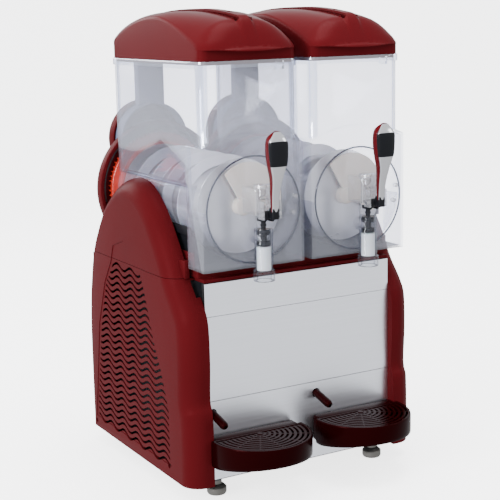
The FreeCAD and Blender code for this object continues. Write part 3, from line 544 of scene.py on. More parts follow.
def coverSection(path, inset, x, wall):
    ring = []
    last = len(path) - 1
    for i, (y, z) in enumerate(path):
        before, after = path[max(i - 1, 0)], path[min(i + 1, last)]
        dy, dz = after[0] - before[0], after[1] - before[1]
        length = math.hypot(dy, dz)
        ease = min(max((y - 60.0) / 130.0, 0.0), 1.0)
        shift = inset * (cover["roundFront"] + (cover["roundBack"] - cover["roundFront"]) * ease) + wall
        lift = 0.0 if i in (0, last) else -dy / length * shift
        ring.append((x * mm, (y + dz / length * shift) * mm, (z + lift - (wall * 4 if i in (0, last) else 0)) * mm))
    return ring


def coverBody(inner, wall):
    path = curveThrough(cover["outline"], 7)
    outer = cover["outer"] - wall
    depth = cover["roundFront"] - wall
    flatEnd = outer - depth
    rings = [coverSection(path, 0.0, -inner, wall)] if flatEnd - inner > 0.5 else []
    rings.append(coverSection(path, 0.0, -flatEnd, wall))
    for i in range(1, cover["steps"] + 1):
        a = math.pi / 2 * i / cover["steps"]
        rings.append(coverSection(path, 1 - math.cos(a), -(flatEnd + depth * math.sin(a)), wall))
    return skinRings("cover", rings)


# Wavy bars in rows, as wide at each height as the arched vent field.
def ventBars():
    grow = Grower("waveVents", {**vents, "Depth": 8.0, "Side": -cover["outer"]})
    pitch, wave = grow.size("Pitch") * mm, grow.size("Wave") * mm
    bar = grow.out("GeometryNodeMeshCube", None, {
        "Size": grow.vector(grow.size("Depth") * mm, 1.0, grow.size("Slot") * mm),
        "Vertices X": 2, "Vertices Y": 90, "Vertices Z": 2})
    rows = grow.line(grow.size("Rows"), grow.vector(grow.size("Side") * mm, 0.0, grow.size("First") * mm),
                     grow.vector(0.0, 0.0, pitch))
    stack = grow.realized(grow.copies(rows, bar))
    x, y, z = grow.place()
    margin = grow.size("Margin") * mm
    front = (-0.128 + (z - 0.15) * 0.44).atLeast(-0.128) + margin
    back = (0.193 - (z - 0.072) * 0.18).atMost(0.163 - (z - 0.24) * 0.41).atMost(0.129 - (z - 0.324) * 0.7)
    back = back.atMost(0.193) - margin
    along = front + (back - front) * (y + 0.5)
    height = z + (along / wave * (2 * math.pi)).sine() * grow.size("Swing") * mm
    return grow.mesh(grow.moved(stack, grow.vector(x, along, height)), "cover")


def ventField():
    outline = [(-128, 50), (-128, 150), (-80, 261), (-53, 326), (-28, 385), (0, 408), (40, 414), (84, 400), (97, 368),
               (129, 324), (163, 240), (193, 72), (195, 50)]
    rings = [[(x * mm, y * mm, z * mm) for y, z in outline] for x in (-cover["outer"] - 1, -cover["outer"] + 1)]
    return skinRings("field", rings)


def sideCovers():
    outer = coverBody(cover["inner"], 0.0)
    inner = coverBody(cover["inner"] + cover["skin"], cover["skin"])
    doorway = box(-192, -182, -166, 190, -5, 372)
    top = box(-240, -100, -300, 300, cover["seam"] - cover["seamGap"], 600)
    lower = carved(outer, inner, top, doorway, ventField(), ventBars())
    bores = []
    for y, z in cover["screws"]:
        bore = turned("bore", ((4.5, -60), (4.5, 7)), (0, 0, 0), "z", 32)
        place = Matrix.Translation((-cover["outer"] * mm, y * mm, z * mm))
        bore.transform(place @ Matrix.Rotation(math.pi / 2, 4, "Y"))
        bores.append(bore)
    lower = carved(lower, *bores)
    shell = carved(coverBody(cover["upperInner"], 0.0), coverBody(cover["upperInner"] + cover["skin"], cover["skin"]),
                   box(-240, -100, -300, 300, -20, cover["seam"] + cover["seamGap"]), ventField(),
                   turned("sealRoom", ((102.3, 137), (102.3, 151)), (-machine["bowlOffset"], 0, machine["axisZ"]), "y"))
    rib = rounded(box(-203, -cover["upperInner"] - 1, -149, -126, cover["seam"] + cover["seamGap"], 406), 1.2)
    upper = joined([shell, rib])
    for name, side in sides:
        low, high = (lower, upper) if side < 0 else (mirrored(lower), mirrored(upper))
        keep("side_cover_lower_%s_shell" % name, low, "cover", machine["body"], ["side_cover_lower_" + name])
        keep("side_cover_upper_%s_shell" % name, high, "cover", machine["body"], ["side_cover_upper_" + name])


lid = {"half": 89.0, "front": -202.7, "back": 138.0, "corner": 14.0, "bow": 19.0, "bottom": 729.3, "peak": 746.0,
       "edge": 5.0, "wall": 3.0, "grooveFront": -188.0, "grooveBack": 83.0, "grooveIn": 9.0, "grooveWide": 7.0,
       "grooveDeep": 11.0, "fallFront": 5.5, "fallBack": 3.0, "fallReach": 74.0,
       "nose": 26.0, "under": 4.5, "strap": 4.0}
teeth = {"Count": 34, "Pitch": 7.7, "Length": 4.0, "Width": 3.0, "Height": 8.0, "Inset": 0.6, "Proud": 1.8}


def lidSide(y):
    d = y + 43.0
    return 800.0 - 25.0 * (d / 142.0) ** 2.2 if d > 0 else 800.0 - 32.0 * (-d / 114.0) ** 1.56


def lidRidge(y):
    d = y + 45.0
    if d > 0:
        return 811.6 - 4.0 * (d / 128.0) ** 3 - 0.012 * max(y - 90.0, 0.0) ** 2
    return 811.6 - 10.0 * (-d / 125.0) ** 1.8 - 0.030 * max(-178.0 - y, 0.0) ** 2


# The crown falls away on both sides of the spine and round its nose.
def spineFall(x, y):
    inner, outer = lid["grooveIn"], lid["grooveIn"] + lid["grooveWide"]
    along = min(max((lid["grooveBack"] - y) / (lid["grooveBack"] - lid["grooveFront"]), 0.0), 1.0)
    fall = lid["fallBack"] + (lid["fallFront"] - lid["fallBack"]) * along
    if y > lid["grooveBack"]:
        fall *= max(1.0 - (y - lid["grooveBack"]) / 25.0, 0.0)
    aside = max(abs(x) - inner, 0.0) / (outer - inner)
    ahead = max(lid["grooveFront"] + 4.0 - y, 0.0) / lid["nose"]
    edge = min(math.hypot(aside, ahead), 1.0)
    reach = min(max((abs(x) - outer) / (lid["fallReach"] - outer), 0.0), 1.0)
    return fall * edge * edge * (3.0 - 2.0 * edge) * (1.0 - reach) ** 1.5


def lidTop(x, y):
    across = min(abs(x) / lid["half"], 1.0) ** 2.2
    ridge, side = lidRidge(y), lidSide(y)
    return max(ridge - (ridge - side) * across - spineFall(x, y), lid["peak"] + 3.5)


# Plan of the lid, walked round once; bow pushes the front out.
def lidPlan(shrink, bow):
    half, front, back, r = lid["half"] - shrink, lid["front"] + shrink, lid["back"] - shrink, lid["corner"] - shrink
    points = []
    for i in range(49):
        x = -half + r + (2 * half - 2 * r) * i / 48
        points.append((x, front))
    corners = ((half - r, front + r, -90), (half - r, back - r, 0),
               (-half + r, back - r, 90), (-half + r, front + r, 180))
    for index, (cx, cy, start) in enumerate(corners):
        for i in range(1, 11):
            a = math.radians(start + 9 * i)
            points.append((cx + r * math.cos(a), cy + r * math.sin(a)))
        if index in (0, 2):
            y0, y1 = (front + r, back - r) if index == 0 else (back - r, front + r)
            for i in range(1, 60):
                points.append((half if index == 0 else -half, y0 + (y1 - y0) * i / 60))
        if index == 1:
            for i in range(1, 40):
                points.append((half - r - (2 * half - 2 * r) * i / 40, back))
    if bow:
        moved = []
        for x, y in points:
            reach = max(0.0, 1 - (x / (lid["half"] - shrink)) ** 2)
            weight = min(max((front + 16.0 - y) / 16.0, 0.0), 1.0)
            moved.append((x, y - bow * reach * weight))
        points = moved
    return points


def lidMesh():
    centre = (0.0, -32.0)
    skirt, visor = lidPlan(0.0, 0.0), lidPlan(0.0, lid["bow"])
    inside = lidPlan(lid["wall"], 0.0)

    def ring(plan, height):
        return [(x * mm, y * mm, height(x, y) * mm) for x, y in plan]

    def toward(plan, k):
        return [(centre[0] + (x - centre[0]) * k, centre[1] + (y - centre[1]) * k) for x, y in plan]

    def peak(x, y):
        return lid["peak"] - 2.5 * max(0.0, 1 - (x / 60.0) ** 2)

    rings = [ring(inside, lambda x, y: lid["bottom"]), ring(skirt, lambda x, y: lid["bottom"]), ring(skirt, peak),
             ring(visor, peak)]
    r = lid["edge"]
    for i in range(0, 7):
        a = math.pi / 2 * i / 6
        k = 1 - r * (1 - math.cos(a)) / 120.0
        drop = r * (1 - math.sin(a))
        rings.append(ring(toward(visor, k), lambda x, y: max(lidTop(x, y) - drop, peak(x, y) + 1.5)))
    for i in range(38):
        rings.append(ring(toward(visor, 0.955 - 0.0245 * i), lidTop))

    def underside(x, y):
        return lidTop(0.0, y) - 20.0 if abs(x) < 30.0 else lidTop(x, y) - 13.0

    ceiling = [ring(toward(inside, k), underside) for k in (0.05, 0.3, 0.55, 0.8, 0.97)]
    return closedShell(rings, ceiling)


# Outer rings end in a cap at the top; the ceiling starts with its own cap and comes back to the first ring.
def closedShell(outer, ceiling):
    count = len(outer[0])
    points = [p for ring in outer + ceiling for p in ring]
    faces = []
    total = len(outer) + len(ceiling)
    for r in range(total):
        if r == len(outer) - 1:
            continue
        s = (r + 1) % total
        for i in range(count):
            j = (i + 1) % count
            faces.append((r * count + i, r * count + j, s * count + j, s * count + i))
    faces.append(tuple((len(outer) - 1) * count + i for i in range(count)))
    faces.append(tuple(len(outer) * count + i for i in reversed(range(count))))
    return meshFrom("lid", points, faces)


# Cutters for one side of the spine: an open channel, and a recess that leaves a strap over it.
def grooveTools(side):
    inner, outer = lid["grooveIn"] - 0.2, lid["grooveIn"] + lid["grooveWide"] + 0.2
    steps = 60
    tools = []
    for near, far, top in ((inner, outer, None), (inner - lid["under"], inner + 0.6, lid["strap"])):
        rings = []
        for i in range(steps + 1):
            y = lid["grooveFront"] + (lid["grooveBack"] - lid["grooveFront"]) * i / steps
            end = min(i, steps - i) / 4.0
            floor = lidRidge(y) - lid["grooveDeep"] * min(1.0, 0.5 + end)
            ceiling = lidRidge(y) - top if top else 830.0
            floor += 0.3 if top else 0.0
            outline = ((near, floor), (far, floor), (far, ceiling), (near, ceiling))
            rings.append([(side * x * mm, y * mm, z * mm) for x, z in outline])
        tools.append(skinRings("groove", rings))
    return tools


# Grip ribs dropped on to the lid along both grooves.
def grooveRibs(top):
    across = lid["grooveIn"] + lid["grooveWide"] + teeth["Inset"]
    grow = Grower("gripRibs", {**teeth, "Start": lid["grooveFront"] + 9.0, "Across": across})
    holder = bpy.data.objects.new("lidTop", top)
    bpy.context.scene.collection.objects.link(holder)
    rib = grow.out("GeometryNodeMeshCube", None, {"Size": grow.vector(
        grow.size("Width") * mm, grow.size("Length") * mm, grow.size("Height") * mm)})
    parts = []
    for side in (-1.0, 1.0):
        start = grow.vector(grow.size("Across") * (side * mm), grow.size("Start") * mm, 1.0)
        parts.append(grow.line(grow.size("Count"), start, grow.vector(0.0, grow.size("Pitch") * mm, 0.0)))
    join = grow.node("GeometryNodeJoinGeometry")
    for part in parts:
        grow.tree.links.new(part.socket, join.inputs[0])
    target = grow.node("GeometryNodeObjectInfo", {"transform_space": "ORIGINAL"}, {"Object": holder})
    x, y, z = grow.place()
    hit = grow.node("GeometryNodeRaycast", None, {
        "Target Geometry": Value(grow, target.outputs["Geometry"]), "Source Position": grow.vector(x, y, 1.0),
        "Ray Direction": (0.0, 0.0, -1.0), "Ray Length": 1.0})
    landed = grow.node("ShaderNodeSeparateXYZ", None, {0: Value(grow, hit.outputs["Hit Position"])})
    lowered = Value(grow, landed.outputs[2]) - (grow.size("Height") * 0.5 - grow.size("Proud")) * mm
    placed = grow.moved(Value(grow, join.outputs[0]), grow.vector(x, y, lowered))
    mesh = grow.mesh(grow.copies(placed, rib), "lid")
    bpy.data.objects.remove(holder)
    return mesh


def lids():
    plain = lidMesh()
    ribs = grooveRibs(plain.copy())
    slot = ((-4, -150), (4, -150), (4, -132), (-4, -132))
    slotTool = skinRings("slot", [level(slot, z) for z in (lidRidge(-140) - 5, 830)])
    cut = carved(plain, *grooveTools(1), *grooveTools(-1), rounded(slotTool, 3.9, 5))
    lip = skinRings("lip", [level(lidPlan(shrink, 0.0), z) for shrink, z in (
        (6.0, 723.0), (3.8, 723.0), (3.8, 731.0), (6.0, 731.0))], joinEnds=True)
    whole = joined([cut, ribs, lip])
    for name, side in sides:
        keep("lid_%s_shell" % name, shifted(whole, side * machine["bowlOffset"]), "lid", "lid_" + name, ["lid_" + name],
             angle=30.0)


lever = {
    "back": ((-266, 494), (-263, 520), (-264, 546), (-263, 569), (-261, 592), (-266, 612), (-280, 622)),
    "joint": ((-273, 494), (-275.5, 520), (-281.5, 546), (-285, 569), (-284.5, 590), (-284, 606), (-283, 618)),
    "front": ((-276, 494), (-278, 520), (-285, 546), (-289.5, 569), (-291, 592), (-290, 608), (-284, 621)),
    "half": ((6.0, 494), (6.5, 520), (9.0, 540), (14.5, 560), (16.4, 585), (15.5, 606), (7.0, 621)),
    "bandLow": 567.0, "bandHigh": 604.5, "bandProud": 0.9,
}


def leverStations():
    tracks = [curveThrough([(y, z) for y, z in lever[key]], 10) for key in ("back", "joint", "front", "half")]
    return [tuple(track[i] for track in tracks) for i in range(len(tracks[0]))]


def leverHalf(which, zLow=None, zHigh=None, proud=0.0):
    rings = []
    for back, joint, front, half in leverStations():
        z = joint[1]
        if zLow is not None and not zLow - 1 <= z <= zHigh + 1:
            continue
        edge = front if which == "front" else back
        ring = []
        for i in range(25):
            a = math.pi * i / 24
            x = math.cos(a) * (half[0] + proud)
            bulge = math.sin(a) ** 0.55
            y = joint[0] + (edge[0] - joint[0] + (proud if which == "back" else -proud) * 1.0) * bulge
            zz = joint[1] + (edge[1] - joint[1]) * bulge
            ring.append((x * mm, y * mm, zz * mm))
        rings.append(ring)
    return skinRings("lever", rings)


def levers():
    front, back = leverHalf("front"), leverHalf("back")
    sleeve = leverHalf("front", lever["bandLow"], lever["bandHigh"], lever["bandProud"])
    for name, side in sides:
        x = side * machine["bowlOffset"]
        body = "lever_" + name
        keep("lever_front_%s_grip" % name, shifted(front, x), "chrome", body, ["lever_front_" + name])
        keep("lever_yoke_" + name, yokeMesh(x), "black", body, slot="black_plastic")
        keep("lever_back_%s_grip" % name, shifted(back, x), "leverBack", body, ["lever_back_" + name])
        keep("lever_band_%s_sleeve" % name, rounded(shifted(sleeve, x), 0.5), "black", body, ["lever_band_" + name])


# The black fork below the grip that lifts the piston.
def yokeMesh(x):
    profile = ((3.1, -12), (6.6, -12), (7.0, -11), (7.0, 11), (6.6, 12), (3.1, 12), (3.1, -12))
    knuckle = turned("knuckle", profile, (0, 0, 0), "z", 40)
    knuckle.transform(Matrix.Translation((x * mm, -0.257, 0.488)) @ Matrix.Rotation(math.pi / 2, 4, "Y"))
    stem = rounded(box(x - 5.8, x + 5.8, -276, -263, 482, 500), 1.5, 3)
    prongs = []
    for x0 in (x - 9.0, x + 5.5):
        outline = ((-262, 483), (-252, 483), (-241, 481), (-230, 481), (-230, 475), (-253, 475))
        rings = [[(xx * mm, y * mm, z * mm) for y, z in outline] for xx in (x0, x0 + 3.5)]
        prongs.append(rounded(skinRings("prong", rings), 0.6))
    return joined([knuckle, stem] + prongs)


spring = {"Turns": 5.5, "Radius": 8.0, "Wire": 0.9, "Height": 34.0, "Bottom": 491.0}
piston = ((0, 434.2), (10.4, 434.2), (11.0, 434.8), (11.0, 436), (11.8, 437), (11.8, 438.4), (11.0, 439.4),
          (11.0, 441.4), (10.2, 442), (6.0, 442.6), (5.6, 444), (5.6, 450), (6.2, 451.6), (10.4, 452.2),
          (11.0, 453), (11.0, 455.6), (11.8, 456.6), (11.8, 457.8), (11.0, 458.8), (11.0, 461), (10.2, 461.9),
          (4.2, 462), (4, 463), (4, 466), (5.1, 466.4), (5.1, 469.6), (4, 470), (4, 485), (9.0, 485.3),
          (9.4, 486), (9.4, 488.4), (8.8, 488.9), (3.5, 489), (3.5, 499), (2.8, 500), (0, 500))


def springMesh():
    grow = Grower("tapSpring", spring)
    path = grow.out("GeometryNodeCurveSpiral", None, {
        "Resolution": 36, "Rotations": grow.size("Turns"), "Start Radius": grow.size("Radius") * mm,
        "End Radius": grow.size("Radius") * mm, "Height": grow.size("Height") * mm})
    section = grow.out("GeometryNodeCurvePrimitiveCircle", None, {"Resolution": 10, "Radius": grow.size("Wire") * mm})
    wire = grow.out("GeometryNodeCurveToMesh", None, {"Curve": path, "Profile Curve": section, "Fill Caps": True})
    x, y, z = grow.place()
    return grow.mesh(grow.moved(wire, grow.vector(x, y - 0.235, z + grow.size("Bottom") * mm)), "spring")


def tapInsides():
    coil = springMesh()
    pipe = ((11.9, 394.5), (11.9, 433), (10.6, 433), (10.6, 394.5), (11.9, 394.5))
    for name, side in sides:
        x = side * machine["bowlOffset"]
        body = "piston_" + name
        keep("tap_spring_%s_coil" % name, shifted(coil, x), "spring", body, ["tap_spring_" + name], angle=60)
        sleeve = turned("sleeve", pipe, (x, -235, 0), "z", 56)
        keep("outlet_sleeve_" + name, sleeve, "sleeve", "bowl_" + name, slot="frosted_plastic")
        keep("tap_piston_%s_core" % name, turned("piston", piston, (x, -235, 0), "z", 64), "piston", body,
             ["tap_piston_" + name])


auger = {"Turns": 4.0, "Pitch": 58.0, "Inner": 64.2, "Outer": 81.6, "Thick": 5.0, "Start": 112.0}


def augerFlight(hand):
    grow = Grower("augerFlight", {**auger, "Hand": hand})
    strip = grow.out("GeometryNodeMeshCube", None, {
        "Size": (1.0, 1.0, 1.0), "Vertices X": 260, "Vertices Y": 7, "Vertices Z": 3})
    x, y, z = grow.place()
    turn = (x + 0.5) * grow.size("Turns")
    radius = (grow.size("Inner") + (grow.size("Outer") - grow.size("Inner")) * (y + 0.5)) * mm
    angle = turn * grow.size("Hand") * (2 * math.pi)
    taper = 1.0 - (y + 0.5) * 0.45
    along = grow.size("Start") * mm - turn * grow.size("Pitch") * mm + z * taper * grow.size("Thick") * mm
    return grow.mesh(grow.moved(strip, grow.vector(angle.cosine() * radius, along, angle.sine() * radius)), "auger")


# Spoon-shaped front blade with its hub and the arm that ties it to the flight.
def augerPaddle():
    rings = []
    for i in range(25):
        a = math.radians(-30 + 150 * i / 24)
        reach = 78.0 * (0.82 + 0.18 * math.sin(math.pi * i / 24))
        lean = 4.0 * math.sin(math.pi * i / 24)
        ring = []
        outline = ((12, -167), (reach * 0.6, -167 - lean), (reach, -167.5), (reach, -171),
                   (reach * 0.6, -171 - lean), (12, -172))
        for r, y in outline:
            ring.append((r * math.cos(a) * mm, y * mm, r * math.sin(a) * mm))
        rings.append(ring)
    blade = skinRings("blade", rings)
    profile = ((0, -176), (11, -176), (14, -174), (15, -171), (15, -150), (14, -148), (0, -148))
    hub = turned("hub", profile, (0, 0, 0), "y", 48)
    arm = rounded(box(0, 78, -157, -149, -7, 7), 2.0)
    tie = rounded(box(65.5, 80.5, -157, -119, -6, 6), 2.0)
    return joined([blade, hub, arm, tie])


# Brushed plate that closes the front of the flight.
def augerPlates():
    profile = ((5.2, -160), (78, -160), (79, -159.4), (79, -157.6), (78, -157), (5.2, -157), (5.2, -160))
    for name, side in sides:
        plate = turned("plate", profile, axisPoint(side), "y", 96)
        keep("auger_%s_plate" % name, plate, "steel", "auger_" + name, slot="stainless")


def augers():
    front = augerPaddle()
    for name, side in sides:
        flight = augerFlight(side)
        body = "auger_" + name
        place = axisPoint(side)
        keep("auger_%s_flight" % name, shifted(flight, *place), "auger", body, ["auger_" + name], angle=50)
        keep("auger_%s_paddle" % name, shifted(front, *place), "paddle", body, slot="frosted_plastic")


def drums():
    profile = ((5.2, -146), (38, -146), (41, -145.6), (61, -139), (62, -137), (62, 141), (79.6, 141), (79.6, 149.6),
               (5.2, 149.6), (5.2, -146))
    meshes = [turned("drum", profile, axisPoint(side), "y", 128) for _, side in sides]
    keep("evaporators_drums", joined(meshes), "steel", machine["body"], ["evaporators"])


sealRibs = {"Ribs": 72, "Radius": 99.2, "Depth": 10.4, "Wide": 1.9, "Tall": 4.4}


def bowlSeals():
    grow = Grower("sealRibs", sealRibs)
    rib = grow.out("GeometryNodeMeshCube", None, {"Size": grow.vector(
        grow.size("Tall") * mm, grow.size("Depth") * mm, grow.size("Wide") * mm)})
    ring = grow.line(grow.size("Ribs"))
    index = grow.out("GeometryNodeInputIndex")
    angle = index / grow.size("Ribs") * (2 * math.pi)
    radius = grow.size("Radius") * mm
    spots = grow.moved(ring, grow.vector(angle.cosine() * radius, 0.1441, angle.sine() * radius))
    turn = grow.out("FunctionNodeEulerToRotation", None, {0: grow.vector(0.0, 0.0 - angle, 0.0)})
    ribs = grow.mesh(grow.copies(spots, rib, Rotation=turn), "orange")
    profile = ((80, 128.4), (84.4, 128.4), (84.6, 129), (84.6, 138.4), (97.6, 138.4), (98.4, 139.2),
               (98.4, 149), (97.6, 149.6), (80, 149.6), (80, 128.4))
    parts = []
    for _, side in sides:
        parts += [turned("seal", profile, axisPoint(side), "y", 144), shifted(ribs, *axisPoint(side))]
    keep("bowl_seals_rings", joined(parts), "orange", machine["body"], ["bowl_seals"])


tray = {"half": 88.0, "centre": -211.0, "neck": 80.0, "neckY": -200.8, "back": -182.0, "top": 110.0, "bottom": 64.0,
        "ledge": -202.6}
grid = {"Rings": 9, "First": 8.0, "Pitch": 8.6, "Bar": 4.6, "Depth": 3.2, "Edge": 7.4}


def trayPlan(shrink, neckShrink=None):
    half, neck = tray["half"] - shrink, tray["neck"] - shrink
    back, step = tray["back"] - (shrink if neckShrink is None else neckShrink), tray["neckY"] - shrink
    points = [(half * math.cos(math.radians(180 + a)), tray["centre"] + half * math.sin(math.radians(180 + a)))
              for a in range(0, 181, 3)]
    points += [(half, step), (neck, step), (neck, back), (-neck, back), (-neck, step), (-half, step)]
    return points


def trayMesh():
    def ring(shrink, height):
        return [(x * mm, y * mm, height(y) * mm) for x, y in trayPlan(shrink)]

    def under(lift):
        return lambda y: tray["bottom"] + lift + 13.0 * max(0.0, (-215.0 - y) / 84.0)

    rings = [ring(6.0, under(0.0)), ring(2.0, under(0.8)), ring(0.5, under(3.0)), ring(0.0, under(7.0)),
             *[level(trayPlan(shrink), z) for shrink, z in (
                 (0.0, 106.5), (0.5, 108.8), (1.2, 110.0), (1.6, 110.0), (1.7, 105.8), (3.0, 105.6), (3.4, 84.0),
                 (6.0, 80.5))]]
    ledge = box(-79.4, 79.4, -202.4, -182.2, 104.2, 110.0)
    parts = [skinRings("tray", rings), rounded(ledge, 0.8)]
    for x in (-46.0, 46.0):
        parts.append(rounded(box(x - 8, x + 8, -184, -173, 88, 92), 0.5))
        parts.append(rounded(box(x - 8, x + 8, -176.5, -173, 88, 97.4), 0.5))
    return joined(parts)


# Ring bars trimmed to the tray's round front.
def gridRings():
    grow = Grower("gridRings", grid)
    circle = grow.out("GeometryNodeMeshCube", None, {
        "Size": (1.0, 1.0, 1.0), "Vertices X": 97, "Vertices Y": 2, "Vertices Z": 2})
    bars = grow.realized(grow.copies(grow.line(grow.size("Rings"), step=(0.0, 0.0, 10.0)), circle))
    x, y, z = grow.place()
    index = (z / 10.0 + 0.5).floor()
    tall = z - index * 10.0
    radius = grow.size("First") * mm + index * grow.size("Pitch") * mm + y * grow.size("Bar") * mm
    free = (grow.size("Edge") * mm / radius).atMost(1.0)  # the back edge trims each ring to an arc
    angle = math.pi * 1.5 + x * (math.pi + free.arcsine() * 2.0)
    height = (tray["top"] - 0.25) * mm + (tall - 0.5) * grow.size("Depth") * mm
    crown = (y * y * 4.0) * (tall + 0.5) * -0.0009
    along = angle.sine() * radius + tray["centre"] * mm
    return grow.mesh(grow.moved(bars, grow.vector(angle.cosine() * radius, along, height + crown)), "tray")


def gridPlan(shrink):
    half = tray["half"] - shrink
    points = [(half * math.cos(math.radians(180 + a)), tray["centre"] + half * math.sin(math.radians(180 + a)))
              for a in range(0, 181, 3)]
    return points + [(half, tray["ledge"]), (-half, tray["ledge"])]


def gridMesh():
    rings = gridRings()

    def rim(shrink, z):
        return [(x * mm, min(y, tray["ledge"] - shrink + 1.4) * mm, z * mm) for x, y in gridPlan(shrink)]

    frameRing = skinRings("frame", [rim(shrink, z) for shrink, z in (
        (1.9, 106), (1.9, 109.6), (2.3, 109.9), (4.6, 109.9), (5.0, 109.6), (5.0, 106))], joinEnds=True)
    spokes = []
    for angle in (-150, -120, -90, -60, -30, 0, 180):
        spoke = box(4, 84, -1.3, 1.3, 106.0, 108.6)
        spoke.transform(Matrix.Translation((0, tray["centre"] * mm, 0)) @ Matrix.Rotation(math.radians(angle), 4, "Z"))
        spokes.append(spoke)
    profile = ((0, 106), (5.4, 106), (5.4, 109.2), (4.8, 109.8), (0, 109.8))
    disc = turned("disc", profile, (0, tray["centre"], 0), "z", 40)
    return joined([rings, frameRing, disc] + spokes)


def dripTrays():
    bowl, top = trayMesh(), gridMesh()
    for name, side in sides:
        x = side * machine["bowlOffset"]
        keep("drip_tray_%s_cup" % name, shifted(bowl, x), "tray", "drip_tray_" + name, ["drip_tray_" + name])
        keep("drip_grid_%s_rings" % name, shifted(top, x), "tray", "drip_grid_" + name, ["drip_grid_" + name])


def feet():
    profile = ((0, 0), (14.6, 0), (15.4, 0.4), (17.0, 3.4), (17.0, 11.6), (16.2, 12.8), (12.2, 16.6), (11, 17.2),
               (9, 17.6), (9, 27.6), (4, 27.8), (4, 57.4), (3.4, 58), (0, 58))
    for row in ("front", "back"):
        for name, side in sides:
            node = "foot_%s_%s" % (row, name)
            low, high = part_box(node)
            centre = ((low.x + high.x) / 2 / mm, (low.y + high.y) / 2 / mm, 0)
            keep(node + "_pad", turned("foot", profile, centre, "z", 64), "foot", node, [node], settled=True)


def drainSpouts():
    profile = ((3, 0), (7, 0), (7, 38), (6.6, 41.2), (5.4, 44.2), (3.4, 46.2), (3.0, 46.4), (3.0, 30), (3, 0))
    meshes = []
    for _, side in sides:
        mesh = turned("spout", profile, (0, 0, 0), "y", 48)
        place = Matrix.Translation(((side * machine["bowlOffset"] - 72.5) * mm, -0.1795, 0.149))
        mesh.transform(place @ Matrix.Rotation(math.radians(194), 4, "X"))
        meshes.append(mesh)
    keep("drain_spouts_pins", joined(meshes), "tray", machine["body"], ["drain_spouts"])


# One cross-slotted pan head, instanced on a point per screw.
def screwHeads():
    head = turned("head", ((0, 0.0), (3.9, 0.0), (4.0, 0.6), (3.7, 1.5), (2.6, 2.1), (0, 2.3)), (0, 0, 0), "z", 32)
    head = carved(head, box(-2.8, 2.8, -0.55, 0.55, 1.1, 3), box(-0.55, 0.55, -2.8, 2.8, 1.1, 3))
    holder = bpy.data.objects.new("screwHead", head)
    bpy.context.scene.collection.objects.link(holder)
    spots = [((side * 222.0, y, z), (0, side * math.pi / 2, 0)) for y, z in cover["screws"] for side in (-1, 1)]
    spots += [((x, 188.7, z), (-math.pi / 2, 0, 0)) for x in (-172.0, 172.0) for z in (46.0, 200.0, 352.0)]
    meshes = []
    for number, (place, turn) in enumerate(spots):
        grow = Grower("screw", {"X": place[0], "Y": place[1], "Z": place[2], "Tilt": turn[0], "Lean": turn[1]})
        point = grow.line(1, grow.vector(grow.size("X") * mm, grow.size("Y") * mm, grow.size("Z") * mm))
        info = grow.node("GeometryNodeObjectInfo", None, {"Object": holder})
        lean = grow.out("FunctionNodeEulerToRotation", None, {
            0: grow.vector(grow.size("Tilt"), grow.size("Lean"), 0.0)})
        meshes.append(grow.mesh(grow.copies(point, Value(grow, info.outputs["Geometry"]), Rotation=lean), "steel"))
    bpy.data.objects.remove(holder)
    keep("panel_screws_heads", joined(meshes), "steel", machine["body"], ["panel_screws"])


bowlZones = {"tapFront": -208.5, "tapTop": 536.0, "tubeTop": 470.0, "lipTop": 407.0, "rimLow": 717.0, "ledgeLow": 524.0,
             "ledgeTop": 531.0, "ringInner": 85.6, "ringOuter": 88.4, "ringY": -207.3}


# The bowl's own mould shape; its tap and bottom lip are thicker, so they get deeper finishes.
def bowlShell(node):
    shell = easedNode(node, "clear", 0.4)
    for finish in ("tapClear", "lipClear", "tubeClear", "cornerGlintShade"):
        shell.data.materials.append(finishes[finish])
    for face in shell.data.polygons:
        y, z = (face.center.y - frameShift) / mm, face.center.z / mm
        corner = abs(face.normal.x) > 0.2 and abs(face.normal.y) > 0.2 and abs(face.normal.z) < 0.3
        if y < bowlZones["tapFront"] and z < bowlZones["tapTop"]:
            face.material_index = 1 if z > bowlZones["tubeTop"] else 3
        elif z < bowlZones["lipTop"]:
            face.material_index = 2
        # Corner, rim and ledge faces take the last finish, whose darker tint and stronger reflection are painted shade
        # and painted highlight.
        elif z > bowlZones["rimLow"] or bowlZones["ledgeLow"] < z and (corner or z < bowlZones["ledgeTop"]):
            face.material_index = 4


# Moulded bead round the front disc, seen as a dark line.
def bowlLines():
    inner, outer, y = bowlZones["ringInner"], bowlZones["ringOuter"], bowlZones["ringY"]
    bead = ((inner, y + 0.5), (inner + 0.5, y - 0.5), (outer - 0.5, y - 0.5), (outer, y + 0.5), (outer, y + 1.2),
            (inner, y + 1.2), (inner, y + 0.5))
    for name, side in sides:
        # The bead's dark tint is painted shade for the line the clear ring shows.
        ring = turned("bead", bead, axisPoint(side), "y", 160)
        keep("bowl_%s_bead" % name, ring, "ringPaintedShade", "bowl_" + name, slot="clear_plastic")


# Corrugated dust screens behind the wavy vents.
screen = {"Front": -166.0, "Back": 184.0, "Low": 30.5, "High": 371.0, "Wave": 3.5, "Depth": 0.4, "Inner": 182.4}


def dustScreens():
    steps = int((screen["Back"] - screen["Front"]) / screen["Wave"] * 2)
    front, back = [], []
    for i in range(steps + 1):
        y = screen["Front"] + (screen["Back"] - screen["Front"]) * i / steps
        x = screen["Inner"] + (screen["Depth"] if i % 2 else 0.0)
        front.append((x, y))
        back.append((x + 0.6, y))
    outline = front + back[::-1]
    levels = (screen["Low"], screen["High"])
    flat = skinRings("screen", [level(outline, z) for z in levels])
    back = screen["Back"] + 2.0
    turn = [(screen["Inner"], back), (225.0, back), (225.0, back + 0.6), (screen["Inner"], back + 0.6)]
    foot = box(screen["Inner"], 225.0, screen["Front"], screen["Back"], screen["Low"], screen["Low"] + 0.8)
    mesh = joined([flat, foot, skinRings("turn", [level(turn, z) for z in levels])])
    keep("dust_screens", joined([mesh, mirrored(mesh)]), "black", machine["body"], slot="black_plastic")


